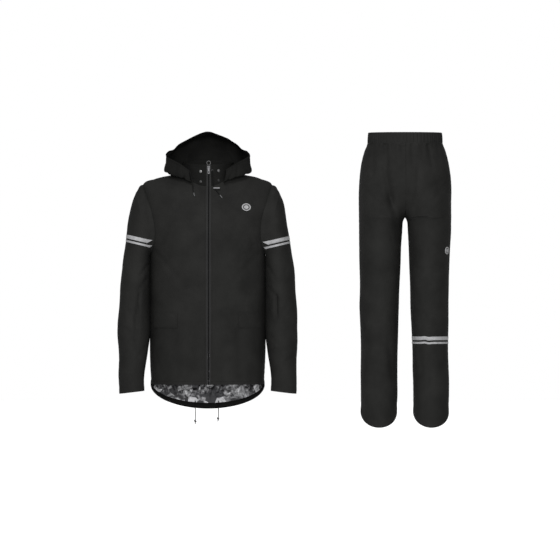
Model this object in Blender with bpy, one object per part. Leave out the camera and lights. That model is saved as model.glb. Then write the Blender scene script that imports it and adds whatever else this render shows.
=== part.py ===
"""Rain suit: a hooded zip jacket and over-trousers, filled out as when worn, side by side.

Units are metres, +Z is up and the fronts look along -Y. The origin is between the shoulders of
the jacket, at the level where the wearer's shoulders carry it. Every cloth piece is a wall
worked out from a surface function of two parameters and offset along its normal.
"""

import math

import bmesh
import bpy
import numpy as np
from mathutils import Vector

# cloth and seams
CLOTH = 0.0015
HEAVY_CLOTH = 0.0020
SEAM_GAP = 0.0003
TRIM = 0.0010

# jacket, from the shoulders down
HALF_CHEST = 0.217
BODY_DEPTH = 0.150
HEM_LEVEL = -0.745
TAIL_DROP = 0.097
ARMPIT_LEVEL = -0.255
SHOULDER_HALF_WIDTH = 0.245
NECK_HALF_WIDTH = 0.100
ARMHOLE_HALF_ANGLE = 0.60
COLLAR_TOP = 0.087

# front zip
ZIP_X = 0.0048
CHAIN_HALF = 0.0026
TAPE_EDGE = 0.0087
CHAIN_THICK = 0.0022
CHAIN_LIFT = 0.0005
SLIDER_HALF_WIDTH = 0.0045
SLIDER_HALF_HEIGHT = 0.0065
SLIDER_THICK = 0.0026
SLIDER_LEAN = 0.0008
PIN_RADIUS = 0.0008
PIN_RISE = 0.0025
EYE_CLEARANCE = 0.0004
EYE_WALL = 0.0009
EYE_HALF_WIDTH = 0.0017
LUG_THICK = 0.0012
LUG_HALF_HEIGHT = 0.0020
PULL_HALF_WIDTH = 0.0036
PULL_LENGTH = 0.0260
PULL_THICK = 0.0013
PULL_NECK = 0.0070
LOOP_RADIUS = 0.0072
LOOP_THICK = 0.0011

# reflective tape: top line of the upper one across the sleeves, then drop and height of each
STRIPE_OUTER_Z = -0.1775
STRIPE_OUTER_X = 0.3045
STRIPE_SLOPE = 0.235
STRIPE_LIFT = 0.0017
LEG_STRIPE_LIFT = 0.0006
SLEEVE_STRIPES = (("wide", 0.0, 0.0145), ("narrow", 0.0205, 0.0080))
LEG_STRIPES = (("wide", -0.5640, -0.5775), ("narrow", -0.5840, -0.5915))

# trousers
TROUSER_X = 0.7496
WAIST_TOP = 0.2100
BAND_HEIGHT = 0.040
CROTCH_LEVEL = -0.113
LEG_HEM = -0.852
TONGUE_DROP = 0.057

# cords
HEM_CORD = 0.0032
HOOD_CORD = 0.0030

# Jacket body rings from hem to neck: height at front, side and back, half width, depth to the
# front and to the back of the ring's middle.
BODY_RINGS = np.array([
    # z front, z side, z back, half width, front, back
    (HEM_LEVEL, HEM_LEVEL, HEM_LEVEL, HALF_CHEST, BODY_DEPTH, BODY_DEPTH),
    (-0.560, -0.560, -0.560, HALF_CHEST, 0.151, 0.149),
    (-0.390, -0.390, -0.390, HALF_CHEST, 0.152, 0.152),
    (-0.258, ARMPIT_LEVEL, -0.255, HALF_CHEST, 0.151, 0.156),
    (-0.190, -0.190, -0.185, 0.2330, 0.148, 0.158),
    (-0.135, -0.125, -0.115, 0.2480, 0.142, 0.155),
    (-0.090, -0.052, -0.050, 0.2550, 0.132, 0.146),
    (-0.055, 0.0140, 0.004, SHOULDER_HALF_WIDTH, 0.119, 0.128),
    (-0.028, 0.0350, 0.034, 0.2000, 0.108, 0.106),
    (-0.008, 0.0470, 0.052, 0.1500, 0.097, 0.084),
    (0.006, 0.0580, 0.066, NECK_HALF_WIDTH, 0.088, 0.065),
])
HEM_ROW, ARMPIT_ROW, SHOULDER_ROW, NECK_ROW = 0.0, 3.0, 7.0, 10.0
SLIDER_ROW = 10.86
FACING_ROW = 0.085
POCKET_ROWS = (1.168, 1.5, 1.505)
POCKET_SHARES = (0.337, 0.752)
STUD_PLACES = (("right", 0.0711), ("left", 0.1020))
STUD_RISES = (("upper", 0.66), ("lower", 0.16))
EYELET_PLACE = (0.0135, 0.725)
ARMHOLE_GAP_ROWS = 0.008

# Sleeve rings below the armhole: top point on the outer arm line, low point on the inner arm
# line, half depth and how far the section's middle lies behind the body's middle.
SLEEVE_RINGS = np.array([
    # outer x, outer z, inner x, inner z, half depth, middle y
    (0.2725, -0.0140, 0.2188, -0.2620, 0.0900, 0.004),
    (0.2890, -0.0560, 0.2197, -0.2700, 0.0890, 0.004),
    (0.3010, -0.1200, 0.2205, -0.2840, 0.0860, 0.004),
    (0.3120, -0.1960, 0.2210, -0.3100, 0.0830, 0.003),
    (0.3230, -0.2850, 0.2213, -0.3580, 0.0810, 0.003),
    (0.3320, -0.3700, 0.2214, -0.4180, 0.0800, 0.000),
    (0.3380, -0.4600, 0.2215, -0.4860, 0.0770, -0.008),
    (0.3396, -0.5400, 0.2216, -0.5550, 0.0720, -0.018),
    (0.3390, -0.6200, 0.2300, -0.6220, 0.0650, -0.030),
    (0.3368, -0.7000, 0.2392, -0.6950, 0.0580, -0.042),
    (0.3342, -0.7805, 0.2406, -0.7695, 0.0510, -0.054),
])

# Sleeve folds on the front: outer arm side x, height of upper and lower end, depth, half width.
SLEEVE_FOLDS = {
    # x, z high, z low, depth, half width
    "right": ((0.2680, -0.410, -0.608, 0.0060, 0.010), (0.2330, -0.285, -0.425, 0.0040, 0.008)),
    "left": ((0.2600, -0.405, -0.500, 0.0050, 0.010), (0.2330, -0.300, -0.400, 0.0030, 0.008)),
}

# Hood stations from the front end of the rim to the middle of the back: points of the rim, of
# the upper bulge and of the lower bulge, then the angle round the neck where it is sewn on.
HOOD_STATIONS = (
    # rim, upper bulge, lower bulge, degrees round the neck from the front
    ((0.0700, -0.0940, 0.0670), (0.0690, -0.0980, 0.0460), (0.0620, -0.0940, 0.0190), 36),
    ((0.1050, -0.0780, 0.0915), (0.1130, -0.0820, 0.0700), (0.1130, -0.0790, 0.0400), 60),
    ((0.1560, -0.0340, 0.1200), (0.1570, -0.0360, 0.0900), (0.1610, -0.0320, 0.0560), 84),
    ((0.1500, 0.0020, 0.1395), (0.1570, 0.0080, 0.1050), (0.1570, 0.0150, 0.0640), 98),
    ((0.1290, 0.0280, 0.1480), (0.1420, 0.0500, 0.1200), (0.1420, 0.0560, 0.0720), 117),
    ((0.0970, 0.0500, 0.1755), (0.1090, 0.0920, 0.1500), (0.1060, 0.1050, 0.0800), 143),
    ((0.0000, 0.0700, 0.2139), (0.0000, 0.1380, 0.1880), (0.0000, 0.1450, 0.0900), 180),
)
HOOD_SEAM_STATION = 5
HOOD_SEAM_OFF = 0.0017
HOOD_SEAM_RISE = 0.0035

# Trouser rows above the crotch: height, half width, depth to the front and to the back.
PELVIS_ROWS = np.array([
    # z, half width, front, back
    (WAIST_TOP, 0.1390, 0.104, 0.106),
    (WAIST_TOP - BAND_HEIGHT, 0.1425, 0.106, 0.109),
    (0.144, 0.1530, 0.114, 0.120),
    (0.106, 0.1632, 0.126, 0.134),
    (0.068, 0.1697, 0.135, 0.146),
    (0.020, 0.1740, 0.140, 0.152),
    (-0.050, 0.1757, 0.140, 0.150),
    (CROTCH_LEVEL, 0.1757, 0.136, 0.142),
])
BAND_ROW, CROTCH_ROW, TONGUE_ROW = 1.0, 7.0, 14.0
CROTCH_FRONT_DROP = 0.125
THIGH_BLEND = 0.190

# Legs below the crotch, from the middle of the trousers: height, outer and inner line of the
# wearer's right and left leg, depth to the front and to the back.
LEG_ROWS = np.array([
    # z, right outer, right inner, left inner, left outer, front, back
    (CROTCH_LEVEL, 0.1757, 0.0010, 0.0010, 0.1757, 0.128, 0.128),
    (-0.130, 0.1757, 0.0085, 0.0085, 0.1746, 0.121, 0.122),
    (-0.170, 0.1752, 0.0110, 0.0110, 0.1738, 0.114, 0.116),
    (-0.236, 0.1744, 0.0152, 0.0137, 0.1710, 0.107, 0.109),
    (-0.350, 0.1725, 0.0194, 0.0179, 0.1668, 0.098, 0.099),
    (-0.470, 0.1715, 0.0235, 0.0210, 0.1645, 0.092, 0.092),
    (-0.600, 0.1687, 0.0272, 0.0270, 0.1642, 0.088, 0.089),
    (-0.730, 0.1683, 0.0289, 0.0304, 0.1664, 0.085, 0.086),
    (LEG_HEM, 0.1683, 0.0308, 0.0312, 0.1662, 0.084, 0.084),
])

# Folds in the trouser fronts and backs: x from the middle and height of the upper end, the
# same of the lower end, depth, half width.
FRONT_FOLDS = np.array([
    # x high, z high, x low, z low, depth, half width
    (-0.1254, 0.170, -0.1254, 0.049, 0.0050, 0.009),
    (-0.0780, 0.168, -0.0700, 0.090, 0.0080, 0.009),
    (-0.0460, 0.168, -0.0420, 0.120, 0.0045, 0.008),
    (-0.0140, 0.164, -0.0140, 0.120, 0.0045, 0.008),
    (0.0247, 0.168, 0.0247, 0.095, 0.0060, 0.009),
    (0.0608, 0.168, 0.0640, 0.130, 0.0045, 0.008),
    (0.0855, 0.164, 0.0990, 0.087, 0.0070, 0.009),
    (0.1240, 0.168, 0.1260, 0.110, 0.0045, 0.009),
    (-0.0800, 0.075, -0.0550, -0.050, 0.0110, 0.014),
    (-0.0570, -0.040, -0.0250, -0.170, 0.0080, 0.012),
    (0.0490, 0.060, 0.0360, -0.095, 0.0050, 0.012),
])
BACK_FOLDS = np.array([
    # x high, z high, x low, z low, depth, half width
    (-0.1200, 0.168, -0.1230, 0.080, 0.0050, 0.009),
    (-0.0850, 0.168, -0.0800, 0.105, 0.0065, 0.009),
    (-0.0480, 0.166, -0.0500, 0.070, 0.0055, 0.009),
    (-0.0160, 0.168, -0.0160, 0.115, 0.0045, 0.008),
    (0.0210, 0.168, 0.0190, 0.085, 0.0060, 0.009),
    (0.0560, 0.166, 0.0570, 0.120, 0.0050, 0.008),
    (0.0900, 0.168, 0.0960, 0.080, 0.0065, 0.009),
    (0.1240, 0.168, 0.1240, 0.100, 0.0045, 0.009),
    (0.0650, 0.030, 0.0300, -0.130, 0.0080, 0.014),
    (-0.0600, 0.020, -0.0350, -0.120, 0.0070, 0.014),
])

# Rows and columns at which each panel has its points.
BODY_ROWS = np.concatenate([
    np.linspace(HEM_ROW, ARMPIT_ROW, 7)[:-1],
    0.5 * (ARMPIT_ROW + SHOULDER_ROW)
    - 0.5 * (SHOULDER_ROW - ARMPIT_ROW) * np.cos(np.linspace(0.0, math.pi, 10)),
    (7.8, 8.6, 9.3, NECK_ROW - 0.012),
])
FRONT_COLUMNS = np.linspace(0.0, 1.0, 9)
BACK_COLUMNS = np.linspace(-1.0, 1.0, 19)
COLLAR_COLUMNS = np.linspace(0.0, 1.0, 11)
COLLAR_RISES = (0.004, 0.5, 1.0)
SLEEVE_COLUMNS = np.linspace(0.0, 2 * math.pi, 19)
SLEEVE_ROWS = (0.0, 0.35, 1.0, 2.0, 3.0, 4.0, 5.0, 6.0, 6.7, 7.4, 8.2, 9.0, 10.0, 11.0)
TROUSER_ROWS = np.concatenate([
    (BAND_ROW + 0.025, 1.4, 1.9, 2.4, 3.0, 3.6, 4.3, 5.0, 5.6, 6.1, 6.5, 6.75, 6.9, 6.97),
    (CROTCH_ROW, 7.5, 8.2, 9.0, 10.0, 11.0, 12.0, 13.0, TONGUE_ROW, TONGUE_ROW + 1.0),
])
TROUSER_COLUMNS = {"front": np.linspace(0.0008, 0.9992, 14), "back": np.linspace(0.0008, 0.9992, 12)}

# Drawcord ends: points from the exit to the tip.
HOOD_CORD_LEFT = ((0.0179, -0.0915, 0.0655), (0.0179, -0.0958, 0.0650), (0.0182, -0.0992, 0.0618),
                  (0.0186, -0.1003, 0.0550), (0.0190, -0.1005, 0.0400), (0.0205, -0.1006, 0.0220),
                  (0.0245, -0.1008, 0.0050), (0.0330, -0.1030, -0.0100), (0.0420, -0.1070, -0.0220),
                  (0.0470, -0.1095, -0.0280))
HOOD_CORD_RIGHT = ((-0.0681, -0.0951, 0.0655), (-0.0668, -0.0985, 0.0610), (-0.0645, -0.1000, 0.0530),
                   (-0.0610, -0.1005, 0.0400), (-0.0570, -0.1008, 0.0240), (-0.0550, -0.1015, 0.0080),
                   (-0.0548, -0.1040, -0.0080), (-0.0520, -0.1080, -0.0190))
HEM_CORD_RIGHT = ((-0.0490, 0.1404, -0.8120), (-0.0497, 0.1402, -0.8400), (-0.0492, 0.1400, -0.8660),
                  (-0.0498, 0.1400, -0.8850))
HEM_CORD_LEFT = ((0.0390, 0.1425, -0.8120), (0.0388, 0.1420, -0.8350), (0.0392, 0.1418, -0.8560),
                 (0.0388, 0.1418, -0.8755))


def between(p0, p1, p2, p3, f):
    """Smooth curve from p1 to p2: a straight step plus the bend that the outer points give."""
    start_bend = p1 - 0.5 * (p0 + p2)
    end_bend = 0.5 * (p1 + p3) - p2
    return p1 + (p2 - p1) * f + f * (1 - f) * (start_bend * (1 - f) - end_bend * f)


def along(rows, position):
    """Columns of a table at a position along its rows, on a smooth curve through every row."""
    rows = np.asarray(rows, float)
    last = len(rows) - 1
    place = np.clip(np.asarray(position, float), 0.0, last)
    low = np.minimum(place.astype(int), last - 1)
    return between(rows[np.maximum(low - 1, 0)], rows[low], rows[low + 1],
                   rows[np.minimum(low + 2, last)], (place - low)[..., None])


def stack(x, y, z):
    """Point array from three coordinate arrays of matching shape."""
    return np.stack(np.broadcast_arrays(x, y, z), axis=-1)


def unit(vectors):
    """Vectors scaled to length one."""
    return vectors / np.maximum(np.linalg.norm(vectors, axis=-1, keepdims=True), 1e-12)


def normal_of(surface, a, b, step=1e-3):
    """Unit normals of a surface from differences along both of its parameters."""
    along_a = surface(a + step, b) - surface(a - step, b)
    along_b = surface(a, b + step) - surface(a, b - step)
    return unit(np.cross(along_a, along_b))


def faceted(surface, columns, rows):
    """A surface as its panel's flat facets: straight between the panel's columns and rows."""
    columns, rows = np.asarray(columns, float), np.asarray(rows, float)
    points = surface(*np.meshgrid(columns, rows))

    def flat(a, b):
        i = np.clip(np.searchsorted(columns, a, side="right") - 1, 0, len(columns) - 2)
        j = np.clip(np.searchsorted(rows, b, side="right") - 1, 0, len(rows) - 2)
        f = ((a - columns[i]) / (columns[i + 1] - columns[i]))[..., None]
        g = ((b - rows[j]) / (rows[j + 1] - rows[j]))[..., None]
        low = points[j, i] * (1 - f) + points[j, i + 1] * f
        high = points[j + 1, i] * (1 - f) + points[j + 1, i + 1] * f
        return low * (1 - g) + high * g

    return flat


def marks_between(first, last, columns):
    """Both ends of a stretch and the panel's own columns inside it."""
    inside = [c for c in columns if first < c < last]
    return np.array([first, *inside, last])


def dent(points, folds, facing):
    """Push points in along Y where they lie near a fold's line, seen from the front.

    A fold is a soft trough: its depth times a bell of the distance from its line.
    """
    x, z = points[..., 0], points[..., 2]
    push = np.zeros_like(x)
    for x0, z0, x1, z1, depth, half_width in folds:
        run = np.array((x1 - x0, z1 - z0))
        share = ((x - x0) * run[0] + (z - z0) * run[1]) / (run @ run)
        near = np.clip(share, 0.0, 1.0)
        distance = np.hypot(x - x0 - near * run[0], (z - z0 - near * run[1]) * 0.5)
        push += depth * np.exp(-(distance / half_width) ** 2) * (1.0 - 0.45 * near)
    moved = points.copy()
    moved[..., 1] += facing * push
    return moved


# Surfaces of the jacket

def body(angle, row):
    """Jacket body: ellipse rings by angle from the front, heights blended by cosine squared."""
    columns = along(BODY_RINGS, row)
    z_front, z_side, z_back, half_width, front, back = np.moveaxis(columns, -1, 0)
    cosine = np.cos(angle)
    depth = np.where(cosine > 0, front, back)
    z_end = np.where(cosine > 0, z_front, z_back)
    height = z_side + (z_end - z_side) * cosine ** 2
    return stack(half_width * np.sin(angle), -depth * cosine, height)


def armhole_angle(row):
    """How far the armhole opens from the side line at a row: half an oval between two rows."""
    middle = 0.5 * (ARMPIT_ROW + SHOULDER_ROW)
    half = 0.5 * (SHOULDER_ROW - ARMPIT_ROW)
    return ARMHOLE_HALF_ANGLE * np.sqrt(np.clip(1.0 - ((row - middle) / half) ** 2, 0.0, 1.0))


def angle_step(row, length):
    """Angle that covers a short length at the side of the body ring."""
    return length / along(BODY_RINGS, row)[..., 4]


def front_face(x, row):
    """Front of the body, and of the collar for rows past the neck, at a given x."""
    on_body = np.minimum(row, NECK_ROW)
    half_width = along(BODY_RINGS, on_body)[..., 3]
    lower = body(np.arcsin(x / half_width), on_body)
    rise = np.clip(row - NECK_ROW, 0.0, 1.0)
    upper = collar(np.arcsin(x / collar_half_width(rise)), rise)
    return np.where((row > NECK_ROW)[..., None], upper, lower)


def collar_half_width(rise):
    """Half width of the standing collar from its seam (0) to its top edge (1)."""
    return NECK_HALF_WIDTH + (0.098 - NECK_HALF_WIDTH) * rise


def collar(angle, rise):
    """Standing collar: starts on the neck ring and leans a little forward to its top edge."""
    z_front, z_side, z_back, half_width, front, back = BODY_RINGS[-1]
    cosine = np.cos(angle)
    depth = np.where(cosine > 0, front + 0.006 * rise, back + 0.003 * rise)
    foot = z_side + (np.where(cosine > 0, z_front, z_back) - z_side) * cosine ** 2
    top = COLLAR_TOP + np.where(cosine > 0, 0.010 * (1 - cosine ** 2), 0.010 + 0.012 * cosine ** 2)
    return stack(collar_half_width(rise) * np.sin(angle), -depth * cosine, foot + (top - foot) * rise)


def armhole_place(turn):
    """Body angle and row on the left armhole's edge: turn 0 at the armpit, pi at the shoulder."""
    half = 0.5 * (SHOULDER_ROW - ARMPIT_ROW) - ARMHOLE_GAP_ROWS
    row = 0.5 * (ARMPIT_ROW + SHOULDER_ROW) - half * np.cos(turn)
    opening = ARMHOLE_HALF_ANGLE * np.abs(np.sin(turn)) - angle_step(row, SEAM_GAP)
    angle = 0.5 * math.pi - np.sign(np.sin(turn)) * np.maximum(opening, 0.0)
    return angle, row


def sleeve(side):
    """Sleeve surface of one side, as a function of the turn round it and the ring along it.

    Ring 0 is the armhole's edge. The other rings are flat ovals hung between the outer and the
    inner arm line, with soft vertical folds pressed into the front.
    """
    sign = 1.0 if side == "left" else -1.0

    def surface(turn, ring):
        outer_x, outer_z, inner_x, inner_z, half_depth, middle = np.moveaxis(
            along(SLEEVE_RINGS, ring - 1.0), -1, 0)
        share = 0.5 * (1.0 - np.cos(turn))
        swell = np.sign(np.sin(turn)) * np.abs(np.sin(turn)) ** 0.85
        oval = stack(inner_x + (outer_x - inner_x) * share, middle - half_depth * swell,
                     inner_z + (outer_z - inner_z) * share)
        edge = body(*armhole_place(turn))
        first = np.clip(ring, 0.0, 1.0)[..., None]
        ease = first * (2.0 - first)
        points = edge + (oval - edge) * np.where(ring[..., None] >= 1.0, 1.0, ease)
        front = np.clip(np.sin(turn) * 3.0, 0.0, 1.0)
        push = np.zeros_like(turn + ring)
        for x_fold, z_high, z_low, depth, half_width in SLEEVE_FOLDS[side]:
            inside = np.clip((z_high - points[..., 2]) / (z_high - z_low), 0.0, 1.0)
            push += (depth * np.sin(math.pi * inside)
                     * np.exp(-((points[..., 0] - x_fold) / half_width) ** 2))
        points[..., 1] += front * push
        points[..., 0] *= sign
        return points

    return surface


def hood_table():
    """Rim, upper and lower bulge and the angle from the back middle, for stations right to left."""
    left = np.array([(*rim, *upper, *lower, math.radians(180 - neck_degrees))
                     for rim, upper, lower, neck_degrees in HOOD_STATIONS])
    mirrored = np.array((-1.0, 1.0, 1.0) * 3 + (-1.0,))
    return np.concatenate([left * mirrored, left[-2::-1]])


HOOD_TABLE = hood_table()
HOOD_MIDDLE = len(HOOD_STATIONS) - 1


def hood(station, drop):
    """Hood: ribs from the rim (drop 0) over two bulges to the neck seam (drop 1).

    Stations count from the right front end of the rim, over the back, to the left front end.
    """
    columns = along(HOOD_TABLE, station)
    rim, upper, lower = columns[..., 0:3], columns[..., 3:6], columns[..., 6:9]
    seam = collar(math.pi - columns[..., 9], np.zeros_like(columns[..., 9]))
    seam[..., :2] *= 1.0 + HOOD_SEAM_OFF / NECK_HALF_WIDTH
    seam[..., 2] += HOOD_SEAM_RISE
    place = np.clip(np.asarray(drop, float), 0.0, 1.0)[..., None] * 3.0
    first = between(rim, rim, upper, lower, np.minimum(place, 1.0))
    middle = between(rim, upper, lower, seam, np.clip(place - 1.0, 0.0, 1.0))
    last = between(upper, lower, seam, seam, np.maximum(place - 2.0, 0.0))
    return np.where(place < 1.0, first, np.where(place < 2.0, middle, last))


# Surfaces of the trousers

def fuller(value):
    """Sine or cosine raised a little, so that an oval stands fuller at its corners."""
    return np.sign(value) * np.abs(value) ** 0.92


def trouser_half(leg, face):
    """One quarter of the trousers: share 0 at the outer seam, 1 at the middle or inner seam.

    A row starts as a quarter ellipse. Over the thigh blend its outer half slides into the leg's
    half ellipse, and near the crotch the inner half turns under, first of all at the middle seam.
    """
    sign = -1.0 if leg == "right" else 1.0
    facing = -1.0 if face == "front" else 1.0
    outer_column, inner_column = (1, 2) if leg == "right" else (4, 3)
    depth_column = 2 if face == "front" else 3
    leg_depth_column = 5 if face == "front" else 6
    folds = FRONT_FOLDS if face == "front" else BACK_FOLDS

    def surface(share, row):
        upper = along(PELVIS_ROWS, row)
        lower = along(LEG_ROWS, row - CROTCH_ROW)
        below = row > CROTCH_ROW
        z = np.where(below, lower[..., 0], upper[..., 0])
        fall = np.clip((CROTCH_LEVEL + CROTCH_FRONT_DROP - z) / CROTCH_FRONT_DROP, 0.0, 1.0)
        thigh = np.clip((CROTCH_LEVEL + THIGH_BLEND - z) / THIGH_BLEND, 0.0, 1.0)
        to_leg = thigh ** 2 * (3.0 - 2.0 * thigh)
        reach = 1.0 - 0.95 * np.sin(math.pi * np.clip(share, 0.5, 1.0))
        under = 1.0 - (1.0 - fall ** 2) ** (0.5 / reach)
        half_width = upper[..., 1]
        quarter = 0.5 * math.pi * share
        x_pelvis = half_width * fuller(np.cos(quarter))
        y_pelvis = upper[..., depth_column] * fuller(np.sin(quarter))
        outer = lower[..., outer_column]
        inner = np.where(below, lower[..., inner_column], 0.5 * SEAM_GAP)
        middle, half = 0.5 * (outer + inner), 0.5 * (outer - inner)
        x_leg = middle + half * np.cos(math.pi * share)
        y_leg = lower[..., leg_depth_column] * np.sin(math.pi * share)
        y_full = lower[..., leg_depth_column] * np.sin(math.pi * np.minimum(share, 0.5))
        x = np.maximum(x_pelvis + (x_leg - x_pelvis) * to_leg, 0.5 * SEAM_GAP)
        y = y_pelvis + (y_full - y_pelvis) * to_leg
        y = y + (y_leg - y) * under
        points = stack(sign * x, facing * y, z)
        pressed = dent(points, folds, -facing)
        loose = np.clip(np.sin(quarter * 2.0) * 2.5 + np.where(share > 0.5, 1.0, 0.0), 0.0, 1.0)
        loose = loose * np.where(below, np.sin(math.pi * share), 1.0)
        points[..., 1] += (pressed[..., 1] - points[..., 1]) * loose
        if face == "front":
            tongue = np.clip(row - TONGUE_ROW, 0.0, 1.0)
            points[..., 2] -= TONGUE_DROP * tongue * np.sin(math.pi * np.clip(share, 0.0, 1.0))
        points[..., 0] += TROUSER_X
        return points

    return surface


def waistband(angle, height):
    """Elastic band: upright oval wall on the top row of the trousers with shallow gathers."""
    columns = along(PELVIS_ROWS, 1.0 - height)
    z, half_width, front, back = np.moveaxis(columns, -1, 0)
    depth = np.where(np.cos(angle) > 0, front, back)
    gather = 1.0 + 0.006 * np.cos(18.0 * angle) * (1.0 - height)
    return stack(TROUSER_X + half_width * gather * fuller(np.sin(angle)),
                 -depth * gather * fuller(np.cos(angle)), z)


# Building blocks

def material(name, color, roughness=0.7, metallic=0.0):
    """Principled material with one colour."""
    made = bpy.data.materials.new(name)
    made.use_nodes = True
    shader = made.node_tree.nodes["Principled BSDF"]
    shader.inputs["Base Color"].default_value = (*color, 1.0)
    shader.inputs["Roughness"].default_value = roughness
    shader.inputs["Metallic"].default_value = metallic
    made.diffuse_color = (*color, 1.0)
    return made


def mesh_object(name, points, faces, finish, smooth=True):
    """Closed mesh object with outward faces."""
    mesh = bpy.data.meshes.new(name)
    mesh.from_pydata([tuple(p) for p in points], [], [tuple(f) for f in faces])
    shape = bmesh.new()
    shape.from_mesh(mesh)
    bmesh.ops.recalc_face_normals(shape, faces=shape.faces)
    shape.to_mesh(mesh)
    shape.free()
    mesh.materials.append(finish)
    if smooth:
        mesh.shade_smooth()
        mesh.set_sharp_from_angle(angle=math.radians(50))
    made = bpy.data.objects.new(name, mesh)
    bpy.context.collection.objects.link(made)
    return made


def quads(first, second):
    """Faces between two equally long lines of point numbers."""
    return np.stack([first[..., :-1], first[..., 1:], second[..., 1:], second[..., :-1]], -1).reshape(-1, 4)


def wall(name, outer, inner, finish, ring=False):
    """Closed wall between an outer and an inner grid; ring joins its last column to the first."""
    rows, columns = outer.shape[:2]
    points = np.concatenate([outer.reshape(-1, 3), inner.reshape(-1, 3)])
    front = np.arange(rows * columns).reshape(rows, columns)
    if ring:
        front = np.concatenate([front, front[:, :1]], axis=1)
    back = front + rows * columns
    faces = [quads(front[:-1], front[1:]), quads(back[1:], back[:-1]),
             quads(back[:1], front[:1]), quads(front[-1:], back[-1:])]
    if not ring:
        faces.append(quads(front[:, 0][None], back[:, 0][None]))
        faces.append(quads(back[:, -1][None], front[:, -1][None]))
    return mesh_object(name, points, np.concatenate(faces), finish)


def panel(name, surface, a, b, finish, thickness=CLOTH, lift=0.0, outward=1.0, ring=False):
    """Cloth wall on a surface: its outer side stands off by lift, its inner side lies below."""
    normal = normal_of(surface, a, b) * outward
    points = surface(a, b)
    return wall(name, points + normal * lift, points + normal * (lift - thickness), finish, ring)


def grid(first, second):
    """Two parameter grids, the first changing along columns and the second along rows."""
    return np.meshgrid(np.asarray(first, float), np.asarray(second, float))


def tube(name, path, radii, finish, sides=8):
    """Solid round bar along a path with its own radius at each point, closed at both ends."""
    path = np.asarray(path, float)
    tangent = unit(np.gradient(path, axis=0))
    across = unit(np.cross(tangent, np.array((0.0, 1.0, 0.0))))
    third = np.cross(tangent, across)
    turn = np.arange(sides) * 2 * math.pi / sides
    circle = across[:, None] * np.cos(turn)[:, None] + third[:, None] * np.sin(turn)[:, None]
    rings = path[:, None] + circle * np.asarray(radii, float)[:, None, None]
    points = np.concatenate([rings.reshape(-1, 3), path[:1], path[-1:]])
    order = np.arange(len(path) * sides).reshape(len(path), sides)
    order = np.concatenate([order, order[:, :1]], axis=1)
    faces = [tuple(f) for f in quads(order[:-1], order[1:])]
    start, end = len(points) - 2, len(points) - 1
    faces += [(start, order[0, k + 1], order[0, k]) for k in range(sides)]
    faces += [(end, order[-1, k], order[-1, k + 1]) for k in range(sides)]
    return mesh_object(name, points, faces, finish)


def curve_points(route, spacing):
    """Points at an even spacing on a smooth curve through the route's own points."""
    fine = along(route, np.linspace(0.0, len(route) - 1.0, 200))
    steps = np.linalg.norm(np.diff(fine, axis=0), axis=1)
    length = np.concatenate([[0.0], np.cumsum(steps)])
    count = max(4, int(round(length[-1] / spacing)) + 1)
    marks = np.linspace(0.0, length[-1], count)
    return np.stack([np.interp(marks, length, fine[:, k]) for k in range(3)], axis=-1)


def cord(name, route, diameter, finish):
    """Free drawcord: a round tube along its route, as a curve with filled ends."""
    points = curve_points(route, diameter * 2.5)
    data = bpy.data.curves.new(name, "CURVE")
    data.dimensions = "3D"
    data.bevel_depth = diameter / 2
    data.bevel_resolution = 2
    data.use_fill_caps = True
    spline = data.splines.new("POLY")
    spline.points.add(len(points) - 1)
    for target, point in zip(spline.points, points):
        target.co = (*point, 1.0)
    data.materials.append(finish)
    made = bpy.data.objects.new(name, data)
    bpy.context.collection.objects.link(made)
    return points


def primitive(name, kind, finish, **sizes):
    """Mesh object from one bmesh primitive of the given sizes."""
    shape = bmesh.new()
    getattr(bmesh.ops, kind)(shape, **sizes)
    mesh = bpy.data.meshes.new(name)
    shape.to_mesh(mesh)
    shape.free()
    mesh.materials.append(finish)
    made = bpy.data.objects.new(name, mesh)
    bpy.context.collection.objects.link(made)
    return made


def box(name, low, high, finish):
    """Upright box between two corners."""
    made = primitive(name, "create_cube", finish, size=1.0)
    low, high = Vector(low), Vector(high)
    size = high - low
    for vertex in made.data.vertices:
        vertex.co = Vector(c * s for c, s in zip(vertex.co, size)) + (low + high) / 2
    return made


def combine(target, tool, operation):
    """Exact Boolean of one object with a tool that is kept as a hidden guide."""
    change = target.modifiers.new(operation.title(), "BOOLEAN")
    change.operation = operation
    change.solver = "EXACT"
    change.object = tool
    tool.hide_render = True
    tool.display_type = "WIRE"


# Jacket pieces


def zip_side_start(sign, half_width):
    """Angle at which a front or collar half starts beside the zip tape."""
    return np.arcsin((TAPE_EDGE + SEAM_GAP + sign * ZIP_X) / half_width)


def front_panel(side):
    """Front of one side by share: 0 beside the zip, 1 at the side, armhole and shoulder seams."""
    sign = 1.0 if side == "left" else -1.0

    def surface(share, row):
        start = zip_side_start(sign, along(BODY_RINGS, row)[..., 3])
        edge = 0.5 * math.pi - armhole_angle(row) - angle_step(row, SEAM_GAP / 2)
        return body(sign * (start + (edge - start) * share), row)

    return surface


def back_panel(share, row):
    """Back by share, -1 and 1 at its seams, with its lowest rows drawn down to the round tail."""
    edge = 0.5 * math.pi - armhole_angle(row) - angle_step(row, SEAM_GAP / 2)
    points = body(math.pi - edge * share, row)
    across = np.clip(np.abs(points[..., 0]) / HALF_CHEST, 0.0, 1.0)
    points[..., 2] -= TAIL_DROP * np.sqrt(1.0 - across ** 2) * np.clip(1.0 - row, 0.0, 1.0)
    return points


def collar_half(side):
    """One half of the standing collar by share: 0 beside the zip, 1 at the middle of the back."""
    sign = 1.0 if side == "left" else -1.0

    def surface(share, rise):
        start = zip_side_start(sign, collar_half_width(rise))
        end = math.pi - SEAM_GAP / 2 / BODY_RINGS[-1][5]
        return collar(sign * (start + (end - start) * share), rise)

    return surface


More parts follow.
